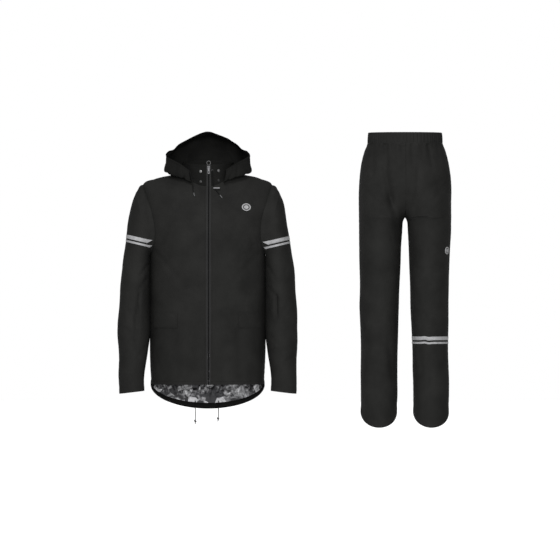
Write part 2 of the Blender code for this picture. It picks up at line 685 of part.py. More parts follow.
def jacket_body(cloth):
    """Two fronts from the zip to the side and shoulder seams, and a back with a dropped tail."""
    for side, sign in (("left", 1.0), ("right", -1.0)):
        panel("jacket_front_" + side, front_panel(side), *grid(FRONT_COLUMNS, BODY_ROWS), cloth,
              outward=sign)
    panel("jacket_back", back_panel, *grid(BACK_COLUMNS, BODY_ROWS), cloth, outward=-1.0)


def tail_inside(lining, facing):
    """Lining on the lower back, inside, and the facing strip that borders it along the tail."""
    flat = faceted(back_panel, BACK_COLUMNS, BODY_ROWS)
    columns = BACK_COLUMNS[1:-1]
    panel("tail_facing", flat, *grid(columns, (0.0, FACING_ROW)), facing, TRIM, -CLOTH - SEAM_GAP,
          outward=-1.0)
    share, row = grid(columns, (FACING_ROW + 0.002, 0.24, 0.5, 0.75, 1.0, 1.5))
    normal = -normal_of(flat, share, row)
    puff = 0.0012 * (1.0 + np.sin(19.0 * share + 5.0 * row) * np.sin(11.0 * share - 9.0 * row))
    puff *= np.clip((row - FACING_ROW) * 4.0 - 0.1, 0.0, 1.0)
    outer = flat(share, row) - normal * (CLOTH + SEAM_GAP + puff)[..., None]
    wall("back_lining", outer, outer - normal * TRIM, lining)


def sleeves(cloth, reflective):
    """Both sleeves as open tubes, with a wide and a narrow stripe across the upper arm."""
    turn, ring = grid(SLEEVE_COLUMNS[:-1], SLEEVE_ROWS)
    for side, sign in (("left", 1.0), ("right", -1.0)):
        surface = sleeve(side)
        normal = normal_of(surface, turn, ring) * -sign
        body_normal = normal_of(body, *armhole_place(turn[0]))
        normal[0] = body_normal * (sign, 1.0, 1.0)
        points = surface(turn, ring)
        wall("sleeve_" + side, points, points - normal * CLOTH, cloth, ring=True)
        flat = faceted(surface, SLEEVE_COLUMNS, SLEEVE_ROWS)
        for name, drop, height in SLEEVE_STRIPES:
            stripe(f"sleeve_stripe_{name}_{side}", flat, drop, height, reflective, -sign)


def stripe(name, surface, drop, height, finish, outward):
    """Tape across a sleeve from the front armhole seam over the arm to the back one.

    Its edges are straight lines in front view, falling towards the body.
    """
    turn = np.linspace(0.0, 2 * math.pi, 361)
    ring = np.linspace(0.15, 6.0, 300)
    points = surface(*np.meshgrid(turn, ring))
    line = STRIPE_OUTER_Z - drop - STRIPE_SLOPE * (STRIPE_OUTER_X - np.abs(points[..., 0]))
    above = points[..., 2] - line

    def ring_where(level):
        """Ring at which each turn's path passes a level below the stripe's top line."""
        return ring[np.minimum((above > -level).sum(axis=0), len(ring) - 1)]

    top, bottom = ring_where(0.0), ring_where(height)
    wide_enough = np.where(bottom - top > 0.12)[0]
    marks = marks_between(turn[wide_enough[0]], turn[wide_enough[-1]], SLEEVE_COLUMNS)
    upper, lower = np.interp(marks, turn, top), np.interp(marks, turn, bottom)
    rings = np.stack([upper, 0.5 * (upper + lower), lower])
    panel(name, surface, np.broadcast_to(marks, rings.shape), rings, finish, TRIM,
          STRIPE_LIFT + TRIM, outward=outward)


def hood_panels(cloth):
    """Three-panel hood: a side, the centre over the back, and the other side."""
    drops = np.linspace(0.0, 1.0, 8)
    seam = HOOD_MIDDLE - HOOD_SEAM_STATION
    gap = 0.004
    parts = (("hood_right", np.linspace(0.0, HOOD_MIDDLE - seam - gap, 10)),
             ("hood_centre", np.linspace(HOOD_MIDDLE - seam + gap, HOOD_MIDDLE + seam - gap, 7)),
             ("hood_left", np.linspace(HOOD_MIDDLE + seam + gap, 2.0 * HOOD_MIDDLE, 10)))
    for name, stations in parts:
        panel(name, hood, *grid(stations, drops), cloth)


def collar_pieces(cloth):
    """Two halves of the standing collar, from the zip to the middle of the back."""
    for side, sign in (("left", 1.0), ("right", -1.0)):
        panel("collar_" + side, collar_half(side), *grid(COLLAR_COLUMNS, COLLAR_RISES), cloth,
              HEAVY_CLOTH, outward=sign)


def pocket_flaps(cloth):
    """Hip pocket flaps lying on the fronts."""
    for side, sign in (("left", 1.0), ("right", -1.0)):
        flat = faceted(front_panel(side), FRONT_COLUMNS, BODY_ROWS)
        share, row = grid(marks_between(*POCKET_SHARES, FRONT_COLUMNS), POCKET_ROWS)
        panel("pocket_flap_" + side, flat, share, row, cloth, CLOTH, 2 * SEAM_GAP + CLOTH, outward=sign)


def front_zip(tape, chain, metal):
    """Zip from hem to collar top: two tapes, the chain, the slider with its swinging pull."""
    rows = np.concatenate([BODY_ROWS[BODY_ROWS < 9.5], (NECK_ROW, 10.5, NECK_ROW + 0.996)])
    for side, near, far in (("left", CHAIN_HALF + SEAM_GAP, TAPE_EDGE),
                            ("right", -TAPE_EDGE, -CHAIN_HALF - SEAM_GAP)):
        x, row = grid((ZIP_X + near, ZIP_X + far), rows)
        panel("zip_tape_" + side, front_face, x, row, tape)
    x, row = grid((ZIP_X - CHAIN_HALF, ZIP_X + CHAIN_HALF), rows)
    panel("zip_chain", front_face, x, row, chain, CHAIN_THICK, CHAIN_LIFT)
    zip_slider(metal)


def slider_centre():
    """Middle of the slider's back face, just in front of the chain."""
    seat = front_face(np.array(ZIP_X), np.array(SLIDER_ROW))
    return Vector((ZIP_X, seat[1] - CHAIN_LIFT - SEAM_GAP - SLIDER_LEAN, seat[2]))


def pin_centre():
    """Middle of the pin in the slider's lugs, on which the pull swings."""
    forward = SLIDER_THICK + 2 * EYE_CLEARANCE + PIN_RADIUS + EYE_WALL
    return slider_centre() + Vector((0.0, -forward, PIN_RISE))


def bar_x(name, centre, half_length, radius, finish, sides=12):
    """Round bar along X about a centre."""
    x, y, z = centre
    return tube(name, ((x - half_length, y, z), (x + half_length, y, z)), (radius, radius), finish, sides)


def zip_slider(metal):
    """Slider plate with two lugs and a pin, and the pull whose eye hangs on that pin."""
    back, pin = slider_centre(), pin_centre()
    slider = box("zip_slider", back + Vector((-SLIDER_HALF_WIDTH, -SLIDER_THICK, -SLIDER_HALF_HEIGHT)),
                 back + Vector((SLIDER_HALF_WIDTH, 0.0, SLIDER_HALF_HEIGHT)), metal)
    inner = EYE_HALF_WIDTH + SEAM_GAP
    for side, sign in (("left", 1.0), ("right", -1.0)):
        ends = sorted((pin.x + sign * inner, pin.x + sign * (inner + LUG_THICK)))
        lug = box(f"lug_guide_{side}", (ends[0], pin.y - 2 * PIN_RADIUS, pin.z - LUG_HALF_HEIGHT),
                  (ends[1], back.y - SLIDER_THICK / 2, pin.z + LUG_HALF_HEIGHT), metal)
        combine(slider, lug, "UNION")
    combine(slider, bar_x("pin_guide", pin, inner + LUG_THICK / 2, PIN_RADIUS, metal), "UNION")

    hinge = bpy.data.objects.new("pull_axis", None)
    hinge.location = pin
    bpy.context.collection.objects.link(hinge)
    bore_radius = PIN_RADIUS + EYE_CLEARANCE
    ends = np.array(((-EYE_HALF_WIDTH, 0.0, 0.0), (EYE_HALF_WIDTH, 0.0, 0.0)))
    axis = np.array((1.0, 0.0, 0.0))
    pull = wall("zip_pull", turned_rings(ends, axis, (bore_radius + EYE_WALL,) * 2, 16),
                turned_rings(ends, axis, (bore_radius,) * 2, 16), metal, ring=True)
    neck = box("neck_guide", (-0.9 * EYE_HALF_WIDTH, -PULL_THICK / 2, -PULL_NECK - PULL_THICK),
               (0.9 * EYE_HALF_WIDTH, PULL_THICK / 2, -bore_radius - EYE_WALL / 2), metal)
    blade = box("blade_guide", (-PULL_HALF_WIDTH, -0.9 * PULL_THICK / 2, -PULL_LENGTH),
                (PULL_HALF_WIDTH, 0.9 * PULL_THICK / 2, -PULL_NECK), metal)
    window = box("window_guide", (-PULL_HALF_WIDTH / 2, -PULL_THICK, PULL_HALF_WIDTH - PULL_LENGTH),
                 (PULL_HALF_WIDTH / 2, PULL_THICK, 2.5 * PULL_HALF_WIDTH - PULL_LENGTH), metal)
    for tool, operation in ((neck, "UNION"), (blade, "UNION"), (window, "DIFFERENCE")):
        combine(pull, tool, operation)
        tool.parent = hinge
    pull.parent = hinge


def turned_rings(centres, axis, radii, sides):
    """Rings of points about an axis, one for each centre and radius."""
    side = unit(np.cross(axis, np.array((0.0, 0.0, 1.0))))
    up = np.cross(side, axis)
    turn = np.arange(sides) * 2 * math.pi / sides
    circle = side * np.cos(turn)[:, None] + up * np.sin(turn)[:, None]
    return np.asarray(centres)[:, None] + circle * np.asarray(radii, float)[:, None, None]


def zip_loop(cloth):
    """Small cord loop that stands up behind the collar's front edge at the top of the zip."""
    sides, steps = 6, 18
    top = front_face(np.array(ZIP_X), np.array(NECK_ROW + 1.0))
    behind = CHAIN_THICK - CHAIN_LIFT + SEAM_GAP + LOOP_THICK
    centre = np.array((ZIP_X, top[1] + behind, COLLAR_TOP + 0.9 * LOOP_RADIUS))
    turn, round_it = grid(np.arange(sides) * 2 * math.pi / sides, np.arange(steps) * 2 * math.pi / steps)
    away = LOOP_RADIUS + LOOP_THICK * np.cos(turn)
    points = centre + stack(away * np.sin(round_it), LOOP_THICK * np.sin(turn), away * np.cos(round_it))
    order = np.arange(sides * steps).reshape(steps, sides)
    order = np.concatenate([order, order[:1]], axis=0)
    order = np.concatenate([order, order[:, :1]], axis=1)
    mesh_object("zip_loop", points.reshape(-1, 3), quads(order[:-1], order[1:]), cloth)


def collar_place(side, share, rise):
    """Point and outward normal on the flat facets of a collar half."""
    flat = faceted(collar_half(side), COLLAR_COLUMNS, COLLAR_RISES)
    sign = 1.0 if side == "left" else -1.0
    place = np.array(share), np.array(rise)
    return flat(*place), normal_of(flat, *place) * sign


def stud(name, side, share, rise, finish):
    """Press stud cap on the collar: a low dome turned about the collar's normal."""
    place, normal = collar_place(side, share, rise)
    radii = (0.0030, 0.0056, 0.0058, 0.0048, 0.0022)
    lifts = (SEAM_GAP, SEAM_GAP, 0.0010, 0.0021, 0.0026)
    sides = 12
    rings = turned_rings(place + np.outer(lifts, normal), normal, radii, sides)
    order = np.arange(len(radii) * sides).reshape(len(radii), sides)
    order = np.concatenate([order, order[:, :1]], axis=1)
    faces = [tuple(f) for f in quads(order[:-1], order[1:])]
    faces += [tuple(order[0, :-1]), tuple(order[-1, :-1])]
    mesh_object(name, rings.reshape(-1, 3), faces, finish)


def collar_studs(metal):
    """Two press studs on each side of the collar front."""
    for side, share in STUD_PLACES:
        for level, rise in STUD_RISES:
            stud(f"stud_{level}_{side}", side, share, rise, metal)


def knot(name, start, direction, radii, step, finish):
    """Knot and frayed tail of a drawcord as one turned body along a short straight line."""
    path = np.asarray(start) + np.outer(np.arange(len(radii)) * step, np.asarray(direction))
    tube(name, path, radii, finish)


def drawcords(cord_finish, metal):
    """Free ends of the hood and hem drawcords with their end pieces."""
    knot_radii = (0.0016, 0.0040, 0.0048, 0.0045, 0.0030, 0.0017, 0.0018, 0.0016, 0.0012)
    hem_cords = (("hem_cord_left", HEM_CORD_LEFT, -0.22), ("hem_cord_right", HEM_CORD_RIGHT, 0.0))
    for name, route, lean in hem_cords:
        cord(name, route, HEM_CORD, cord_finish)
        lean = unit(np.array((lean, 0.0, -1.0)))
        knot(name + "_knot", np.array(route[-1]) + lean * SEAM_GAP, lean, knot_radii, 0.0021, cord_finish)
    tip_radii = (0.0016, 0.0021, 0.0022, 0.0022, 0.0020, 0.0014)
    for name, route in (("hood_cord_left", HOOD_CORD_LEFT), ("hood_cord_right", HOOD_CORD_RIGHT)):
        points = cord(name, route, HOOD_CORD, cord_finish)
        lean = unit(points[-1] - points[-2])
        knot(name + "_tip", points[-1] + lean * 2 * SEAM_GAP, lean, tip_radii, 0.0030, metal)
    cord_stop(metal)
    place, normal = collar_place("left", *EYELET_PLACE)
    ends = place + np.outer((SEAM_GAP, SEAM_GAP + TRIM), normal)
    wall("collar_eyelet", turned_rings(ends, normal, (0.0040, 0.0040), 14),
         turned_rings(ends, normal, (0.0022, 0.0022), 14), metal, ring=True)


def cord_stop(finish):
    """Flat toggle with a hole near its inner end, threaded on the left hood cord."""
    points = curve_points(HOOD_CORD_LEFT, 0.002)
    middle = points[np.argmin(np.abs(points[:, 2] + 0.002))]
    below = points[np.argmin(np.abs(points[:, 2] + 0.010))]
    above = points[np.argmin(np.abs(points[:, 2] - 0.006))]
    toggle = box("cord_stop", middle + (-0.0045, -0.0036, -0.0024), middle + (0.0190, 0.0036, 0.0024), finish)
    hole = tube("toggle_hole_guide", (middle + (above - below), middle - (above - below)),
                (HOOD_CORD / 2 + 0.0008, HOOD_CORD / 2 + 0.0008), finish, 12)
    combine(toggle, hole, "DIFFERENCE")


# Trouser pieces


def trousers(cloth, reflective):
    """Four leg panels, the waistband and the two stripes round the left leg."""
    for leg, sign in (("left", 1.0), ("right", -1.0)):
        for face, facing in (("front", -1.0), ("back", 1.0)):
            panel(f"trouser_{face}_{leg}", trouser_half(leg, face),
                  *grid(TROUSER_COLUMNS[face], TROUSER_ROWS), cloth, outward=-sign * facing)
    turn, height = grid(np.arange(36) * 2 * math.pi / 36, (0.0, 0.5, 1.0))
    panel("waistband", waistband, turn, height, cloth, HEAVY_CLOTH, ring=True)
    for name, high, low in LEG_STRIPES:
        leg_stripe("leg_stripe_" + name, high, low, reflective)


def leg_stripe(name, high, low, finish):
    """Tape round the left leg between two levels, made from the leg's own front and back facets."""
    faces = {face: faceted(trouser_half("left", face), TROUSER_COLUMNS[face], TROUSER_ROWS)
             for face in ("front", "back")}
    fraction = (np.array((high, low)) - LEG_ROWS[5][0]) / (LEG_ROWS[6][0] - LEG_ROWS[5][0])
    rows = CROTCH_ROW + 5.0 + fraction
    sides = []
    for face, facing in (("front", 1.0), ("back", -1.0)):
        share, row = grid(TROUSER_COLUMNS[face][::-int(facing)], rows)
        sides.append((faces[face](share, row), normal_of(faces[face], share, row) * facing))
    points = np.concatenate([side[0] for side in sides], axis=1)
    normal = np.concatenate([side[1] for side in sides], axis=1)
    outer = points + normal * (LEG_STRIPE_LIFT + TRIM)
    wall(name, outer, outer - normal * TRIM, finish, ring=True)


def build_suit():
    """Clear the scene and make every piece."""
    for old in list(bpy.data.objects):
        bpy.data.objects.remove(old, do_unlink=True)
    cloth = material("rain_cloth", (0.022, 0.022, 0.021), 0.55)
    lining = material("silver_lining", (0.42, 0.42, 0.43), 0.35)
    facing = material("dark_facing", (0.03, 0.03, 0.03), 0.6)
    reflective = material("reflective_tape", (0.40, 0.41, 0.42), 0.4)
    tape = material("zip_tape", (0.05, 0.05, 0.05), 0.6)
    chain = material("zip_chain", (0.02, 0.02, 0.02), 0.4)
    metal = material("grey_metal", (0.35, 0.35, 0.36), 0.35, 0.8)
    cord_finish = material("black_cord", (0.015, 0.015, 0.015), 0.8)

    jacket_body(cloth)
    tail_inside(lining, facing)
    sleeves(cloth, reflective)
    hood_panels(cloth)
    collar_pieces(cloth)
    pocket_flaps(cloth)
    front_zip(tape, chain, metal)
    zip_loop(cord_finish)
    collar_studs(metal)
    drawcords(cord_finish, metal)
    trousers(cloth, reflective)


build_suit()
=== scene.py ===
"""Rain suit: hooded rain jacket with a dropped tail, and rain over-trousers, both filled out."""

import math

import bpy
import numpy as np
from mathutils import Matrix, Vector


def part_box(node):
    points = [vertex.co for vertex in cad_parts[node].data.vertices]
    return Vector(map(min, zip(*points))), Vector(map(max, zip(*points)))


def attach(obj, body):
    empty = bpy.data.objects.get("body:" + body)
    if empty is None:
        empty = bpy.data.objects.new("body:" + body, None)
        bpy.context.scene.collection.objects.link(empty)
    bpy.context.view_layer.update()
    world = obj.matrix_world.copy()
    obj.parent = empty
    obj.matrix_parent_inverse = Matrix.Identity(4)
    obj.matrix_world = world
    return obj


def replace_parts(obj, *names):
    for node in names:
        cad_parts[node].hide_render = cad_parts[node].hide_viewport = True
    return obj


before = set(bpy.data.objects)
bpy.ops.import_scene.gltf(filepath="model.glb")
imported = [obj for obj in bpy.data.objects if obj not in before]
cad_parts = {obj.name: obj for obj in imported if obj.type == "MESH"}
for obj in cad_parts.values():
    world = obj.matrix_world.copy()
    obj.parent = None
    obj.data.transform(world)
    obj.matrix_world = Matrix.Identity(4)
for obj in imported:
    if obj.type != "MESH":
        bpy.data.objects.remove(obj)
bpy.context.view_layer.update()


# Fronts and back of the jacket
# Black coated polyester, cut as a left front, a right front and a back with a rounded tail, sewn
# together at the sides and shoulders. The hem is turned up and stitched; nothing else holds it.
# ARM_TOUCH is how far the body's side and the sleeve each swell until they touch.

HEM_LEVEL = -0.745
HALF_CHEST = 0.217
TAIL_DROP = 0.097
NECK_HALF_WIDTH = 0.100
SEAM_GAP = 0.00005
CLOTH_WALL = 0.0009
ZIP_X = 0.0048
TAPE_EDGE = 0.0087
ARMHOLE_HALF_ANGLE = 0.60
ARMPIT_ROW, SHOULDER_ROW, NECK_ROW = 3.0, 7.0, 10.0
BODY_RINGS = np.array([
    # z front, z side, z back, half width, front, back
    (HEM_LEVEL, HEM_LEVEL, HEM_LEVEL, HALF_CHEST, 0.150, 0.150),
    (-0.560, -0.560, -0.560, HALF_CHEST, 0.151, 0.149),
    (-0.390, -0.390, -0.390, HALF_CHEST, 0.152, 0.152),
    (-0.258, -0.255, -0.255, HALF_CHEST, 0.151, 0.156),
    (-0.190, -0.190, -0.185, 0.2330, 0.148, 0.158),
    (-0.135, -0.125, -0.115, 0.2480, 0.142, 0.155),
    (-0.090, -0.052, -0.050, 0.2550, 0.132, 0.146),
    (-0.055, 0.0140, 0.004, 0.2450, 0.119, 0.128),
    (-0.028, 0.0350, 0.034, 0.2000, 0.108, 0.106),
    (-0.008, 0.0470, 0.052, 0.1500, 0.097, 0.084),
    (0.006, 0.0580, 0.066, NECK_HALF_WIDTH, 0.088, 0.065),
])
ARM_TOUCH = 0.0032
JACKET_FOLDS = (
    # x high, z high, x low, z low, depth, half width
    (-0.150, -0.398, 0.150, -0.402, 0.0022, 0.030),
    (-0.196, -0.250, -0.120, -0.330, 0.0026, 0.012),
    (0.196, -0.250, 0.120, -0.330, 0.0026, 0.012),
    (-0.176, -0.215, -0.150, -0.150, 0.0020, 0.012),
    (0.176, -0.215, 0.150, -0.150, 0.0020, 0.012),
    (-0.125, -0.560, -0.112, -0.740, 0.0028, 0.016),
    (0.118, -0.545, 0.130, -0.740, 0.0026, 0.016),
    (-0.060, -0.610, -0.066, -0.740, 0.0018, 0.013),
    (0.062, -0.600, 0.060, -0.740, 0.0018, 0.013),
    (-0.080, -0.035, -0.130, -0.090, 0.0018, 0.011),
    (0.080, -0.035, 0.130, -0.090, 0.0018, 0.011),
)


def unit(vectors):
    """Vectors divided by their lengths."""
    return vectors / np.maximum(np.linalg.norm(vectors, axis=-1, keepdims=True), 1e-12)


def stack(x, y, z):
    """Three coordinate arrays of matching shape as one array of points."""
    return np.stack(np.broadcast_arrays(x, y, z), axis=-1)


def bend(p0, p1, p2, p3, f):
    """Straight step from p1 to p2, plus f(1-f) times the bends that the outer points give."""
    start_bend = p1 - 0.5 * (p0 + p2)
    end_bend = 0.5 * (p1 + p3) - p2
    return p1 + (p2 - p1) * f + f * (1 - f) * (start_bend * (1 - f) - end_bend * f)


def along(rows, position):
    """A table's columns at a position along its rows, bent smoothly through every row."""
    rows = np.asarray(rows, float)
    last = len(rows) - 1
    place = np.clip(np.asarray(position, float), 0.0, last)
    low = np.minimum(place.astype(int), last - 1)
    return bend(rows[np.maximum(low - 1, 0)], rows[low], rows[low + 1],
                rows[np.minimum(low + 2, last)], (place - low)[..., None])


def step(value, start, end):
    """Smooth step: 0 before start, 1 after end, three minus two t times t squared between."""
    t = np.clip((value - start) / (end - start), 0.0, 1.0)
    return t * t * (3.0 - 2.0 * t)


def body(angle, row):
    """Ellipse ring at each row: sine across, cosine in depth, heights eased by cosine squared."""
    z_front, z_side, z_back, half_width, front, back = np.moveaxis(along(BODY_RINGS, row), -1, 0)
    cosine = np.cos(angle)
    z_end = np.where(cosine > 0, z_front, z_back)
    return stack(half_width * np.sin(angle), -np.where(cosine > 0, front, back) * cosine,
                 z_side + (z_end - z_side) * cosine ** 2)


def armhole_angle(row):
    """Half an oval between the armpit and the shoulder: root of one minus the square."""
    middle, half = 0.5 * (ARMPIT_ROW + SHOULDER_ROW), 0.5 * (SHOULDER_ROW - ARMPIT_ROW)
    return ARMHOLE_HALF_ANGLE * np.sqrt(np.clip(1.0 - ((row - middle) / half) ** 2, 0.0, 1.0))


def panel_edge(row):
    """Angle of the side, armhole and shoulder seam, half a seam gap short."""
    return 0.5 * math.pi - armhole_angle(row) - 0.5 * SEAM_GAP / along(BODY_RINGS, row)[..., 4]


def front_panel(side):
    """Body ring by share of the angle from the zip tape (0) to the seam (1)."""
    sign = 1.0 if side == "left" else -1.0

    def surface(share, row):
        start = np.arcsin((TAPE_EDGE + SEAM_GAP + sign * ZIP_X) / along(BODY_RINGS, row)[..., 3])
        return body(sign * (start + (panel_edge(row) - start) * share), row)

    return surface


def back_panel(share, row):
    """Body ring by share of the angle from the middle of the back, hung down to a round tail."""
    points = body(math.pi - panel_edge(row) * share, row)
    across = np.clip(np.abs(points[..., 0]) / HALF_CHEST, 0.0, 1.0)
    points[..., 2] -= TAIL_DROP * np.sqrt(1.0 - across ** 2) * np.clip(1.0 - row, 0.0, 1.0)
    return points


def ripple(points, size, seed, waves=20):
    """Sum of sine waves over space, each with its own direction, length near size and phase."""
    rng = np.random.default_rng(seed)
    ways = unit(rng.normal(size=(waves, 3))) * (2 * math.pi / size) * rng.uniform(0.6, 1.5, (waves, 1))
    phase = rng.uniform(0.0, 2 * math.pi, waves)
    return np.sin(points @ ways.T + phase).sum(axis=-1) * math.sqrt(2.0 / waves)


def creased(points, size, seed, width=0.35):
    """Thin valleys where a ripple passes through zero: minus a bell of its value."""
    return -np.exp(-(ripple(points, size, seed) / width) ** 2)


def fold_depth(points, folds):
    """Soft troughs in front view: each fold's depth times a bell of the distance to its line."""
    x, z = points[..., 0], points[..., 2]
    depth_here = np.zeros_like(x)
    for x0, z0, x1, z1, depth, half_width in folds:
        run = np.array((x1 - x0, z1 - z0))
        share = np.clip(((x - x0) * run[0] + (z - z0) * run[1]) / (run @ run), 0.0, 1.0)
        distance = np.hypot(x - x0 - share * run[0], z - z0 - share * run[1])
        depth_here += depth * np.exp(-(distance / half_width) ** 2)
    return depth_here


def cells(grid):
    """Four corner values of every cell of a grid, in order round the cell."""
    return np.stack([grid[:-1, :-1], grid[:-1, 1:], grid[1:, 1:], grid[1:, :-1]], -1).reshape(-1, 4)


def link_mesh(name, points, faces, finish, corners=None, sharp=50):
    """Mesh from points and faces, with UV corners in metres, smooth but for sharp edges."""
    mesh = bpy.data.meshes.new(name)
    mesh.from_pydata(points.reshape(-1, 3).tolist(), [], [list(map(int, f)) for f in faces])
    if corners is not None:
        layer = mesh.uv_layers.new(name="cloth")
        layer.data.foreach_set("uv", np.ascontiguousarray(corners, dtype=np.float32).ravel())
    mesh.shade_smooth()
    mesh.set_sharp_from_angle(angle=math.radians(sharp))
    mesh.materials.append(finish)
    made = bpy.data.objects.new(name, mesh)
    bpy.context.collection.objects.link(made)
    return made


def wall(name, outer, inner, finish, outward=1.0, ring=False):
    """Closed wall between two grids of points: both skins and a strip round the open edges."""
    rows, columns = outer.shape[:2]
    front = np.arange(rows * columns).reshape(rows, columns)
    u = np.zeros((rows, columns + ring))
    v = np.zeros((rows, columns + ring))
    closed = np.concatenate([outer, outer[:, :1]], axis=1) if ring else outer
    u[:, 1:] = np.cumsum(np.linalg.norm(np.diff(closed, axis=1), axis=-1), axis=1)
    v[1:] = np.cumsum(np.linalg.norm(np.diff(closed, axis=0), axis=-1), axis=0)
    if ring:
        front = np.concatenate([front, front[:, :1]], axis=1)
    back = front + rows * columns
    map_index = np.arange(front.size).reshape(front.shape)
    uv = np.stack([u, v], -1).reshape(-1, 2)
    strips = [(front, map_index), (back[::-1], map_index[::-1]),
              (np.stack([back[0], front[0]]), np.stack([map_index[0], map_index[0]])),
              (np.stack([front[-1], back[-1]]), np.stack([map_index[-1], map_index[-1]]))]
    if not ring:
        for k, pair in ((0, (back, front)), (-1, (front, back))):
            strips.append((np.stack([pair[0][:, k], pair[1][:, k]], 1),
                           np.stack([map_index[:, k]] * 2, 1)))
    faces = np.concatenate([cells(s[0]) for s in strips])
    corners = np.concatenate([cells(s[1]) for s in strips])
    if outward < 0:
        faces, corners = faces[:, ::-1], corners[:, ::-1]
    return link_mesh(name, np.concatenate([outer.reshape(-1, 3), inner.reshape(-1, 3)]), faces,
                     finish, uv[corners.ravel()])


def normals(surface, a, b, outward=1.0, small=1e-3):
    """Cross product of the differences along both parameters, at length one."""
    along_a = surface(a + small, b) - surface(a - small, b)
    along_b = surface(a, b + small) - surface(a, b - small)
    return unit(np.cross(along_a, along_b)) * outward


def declare_cut(outer, ring):
    """Works out a piece's widest row and longest column; nothing further is done with them."""
    closed = np.concatenate([outer, outer[:, :1]], axis=1) if ring else outer
    width = np.linalg.norm(np.diff(closed, axis=1), axis=-1).sum(axis=1).max()
    length = np.linalg.norm(np.diff(closed, axis=0), axis=-1).sum(axis=0).max()
    if min(width, length) < 0.010:
        return


def cloth_piece(name, surface, first, second, relief, finish, node, thick=CLOTH_WALL, outward=1.0,
                ring=False, edge_normal=None):
    """Thin cloth wall on a surface, moved out by its relief, that stands for its solid."""
    a, b = np.meshgrid(first, second)
    points, normal = surface(a, b), normals(surface, a, b, outward)
    if edge_normal is not None:
        normal[0] = edge_normal
    outer = points + normal * relief(points, a, b)[..., None]
    piece = wall(name, outer, outer - normal * thick, finish, outward, ring)
    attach(piece, "suit")
    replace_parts(piece, node)
    declare_cut(outer, ring)
    return piece, outer, normal


def set_value(shader, **values):
    """Values set straight on a shader's own sockets."""
    for key, value in values.items():
        shader.inputs[key.replace("_", " ")].default_value = value


def woven(name, dark, light, roughness=0.62, specular=0.12, mottle=11.0, weave=0.00006):
    """Coated cloth: colour mottled between two tones by noise, with a fine plain weave as bump.

    The weave is the product of two sine bands across the piece's own UV, 1.1 mm apart.
    """
    finish = bpy.data.materials.new(name)
    finish.use_nodes = True
    tree = finish.node_tree
    shader = tree.nodes["Principled BSDF"]
    set_value(shader, Roughness=roughness, Specular_IOR_Level=specular)
    place = tree.nodes.new("ShaderNodeTexCoord")
    cloud = tree.nodes.new("ShaderNodeTexNoise")
    set_value(cloud, Scale=mottle, Detail=6.0, Roughness=0.62)
    tree.links.new(place.outputs["Object"], cloud.inputs["Vector"])
    ramp = tree.nodes.new("ShaderNodeValToRGB")
    ramp.color_ramp.elements[0].position, ramp.color_ramp.elements[1].position = 0.34, 0.68
    ramp.color_ramp.elements[0].color = (*dark, 1.0)
    ramp.color_ramp.elements[1].color = (*light, 1.0)
    tree.links.new(cloud.outputs["Fac"], ramp.inputs["Fac"])
    tree.links.new(ramp.outputs["Color"], shader.inputs["Base Color"])
    split = tree.nodes.new("ShaderNodeSeparateXYZ")
    tree.links.new(place.outputs["UV"], split.inputs[0])
    bands = []
    for axis in ("X", "Y"):
        scaled = tree.nodes.new("ShaderNodeMath")
        scaled.operation = "MULTIPLY"
        scaled.inputs[1].default_value = 2 * math.pi / 0.0011
        wave = tree.nodes.new("ShaderNodeMath")
        wave.operation = "SINE"
        tree.links.new(split.outputs[axis], scaled.inputs[0])
        tree.links.new(scaled.outputs[0], wave.inputs[0])
        bands.append(wave)
    crossing = tree.nodes.new("ShaderNodeMath")
    crossing.operation = "MULTIPLY"
    tree.links.new(bands[0].outputs[0], crossing.inputs[0])
    tree.links.new(bands[1].outputs[0], crossing.inputs[1])
    bump = tree.nodes.new("ShaderNodeBump")
    set_value(bump, Strength=0.5, Distance=weave)
    tree.links.new(crossing.outputs[0], bump.inputs["Height"])
    tree.links.new(bump.outputs["Normal"], shader.inputs["Normal"])
    return finish


rain_cloth = woven("black_rain_cloth", (0.0040, 0.0040, 0.0038), (0.0058, 0.0058, 0.0055), roughness=0.75,
                   specular=0.025)
# A darker copy of the rain cloth: painted shade for the hood, the collar and the hem facing, which lie in
# less light than the fronts.
shade_darkened_cloth = woven("black_cloth_painted_shade", (0.0021, 0.0021, 0.0020), (0.0034, 0.0034, 0.0032), roughness=0.8,
                   specular=0.018)
thread = woven("black_thread", (0.0035, 0.0035, 0.0035), (0.0055, 0.0055, 0.0055), roughness=0.8,
               specular=0.02)


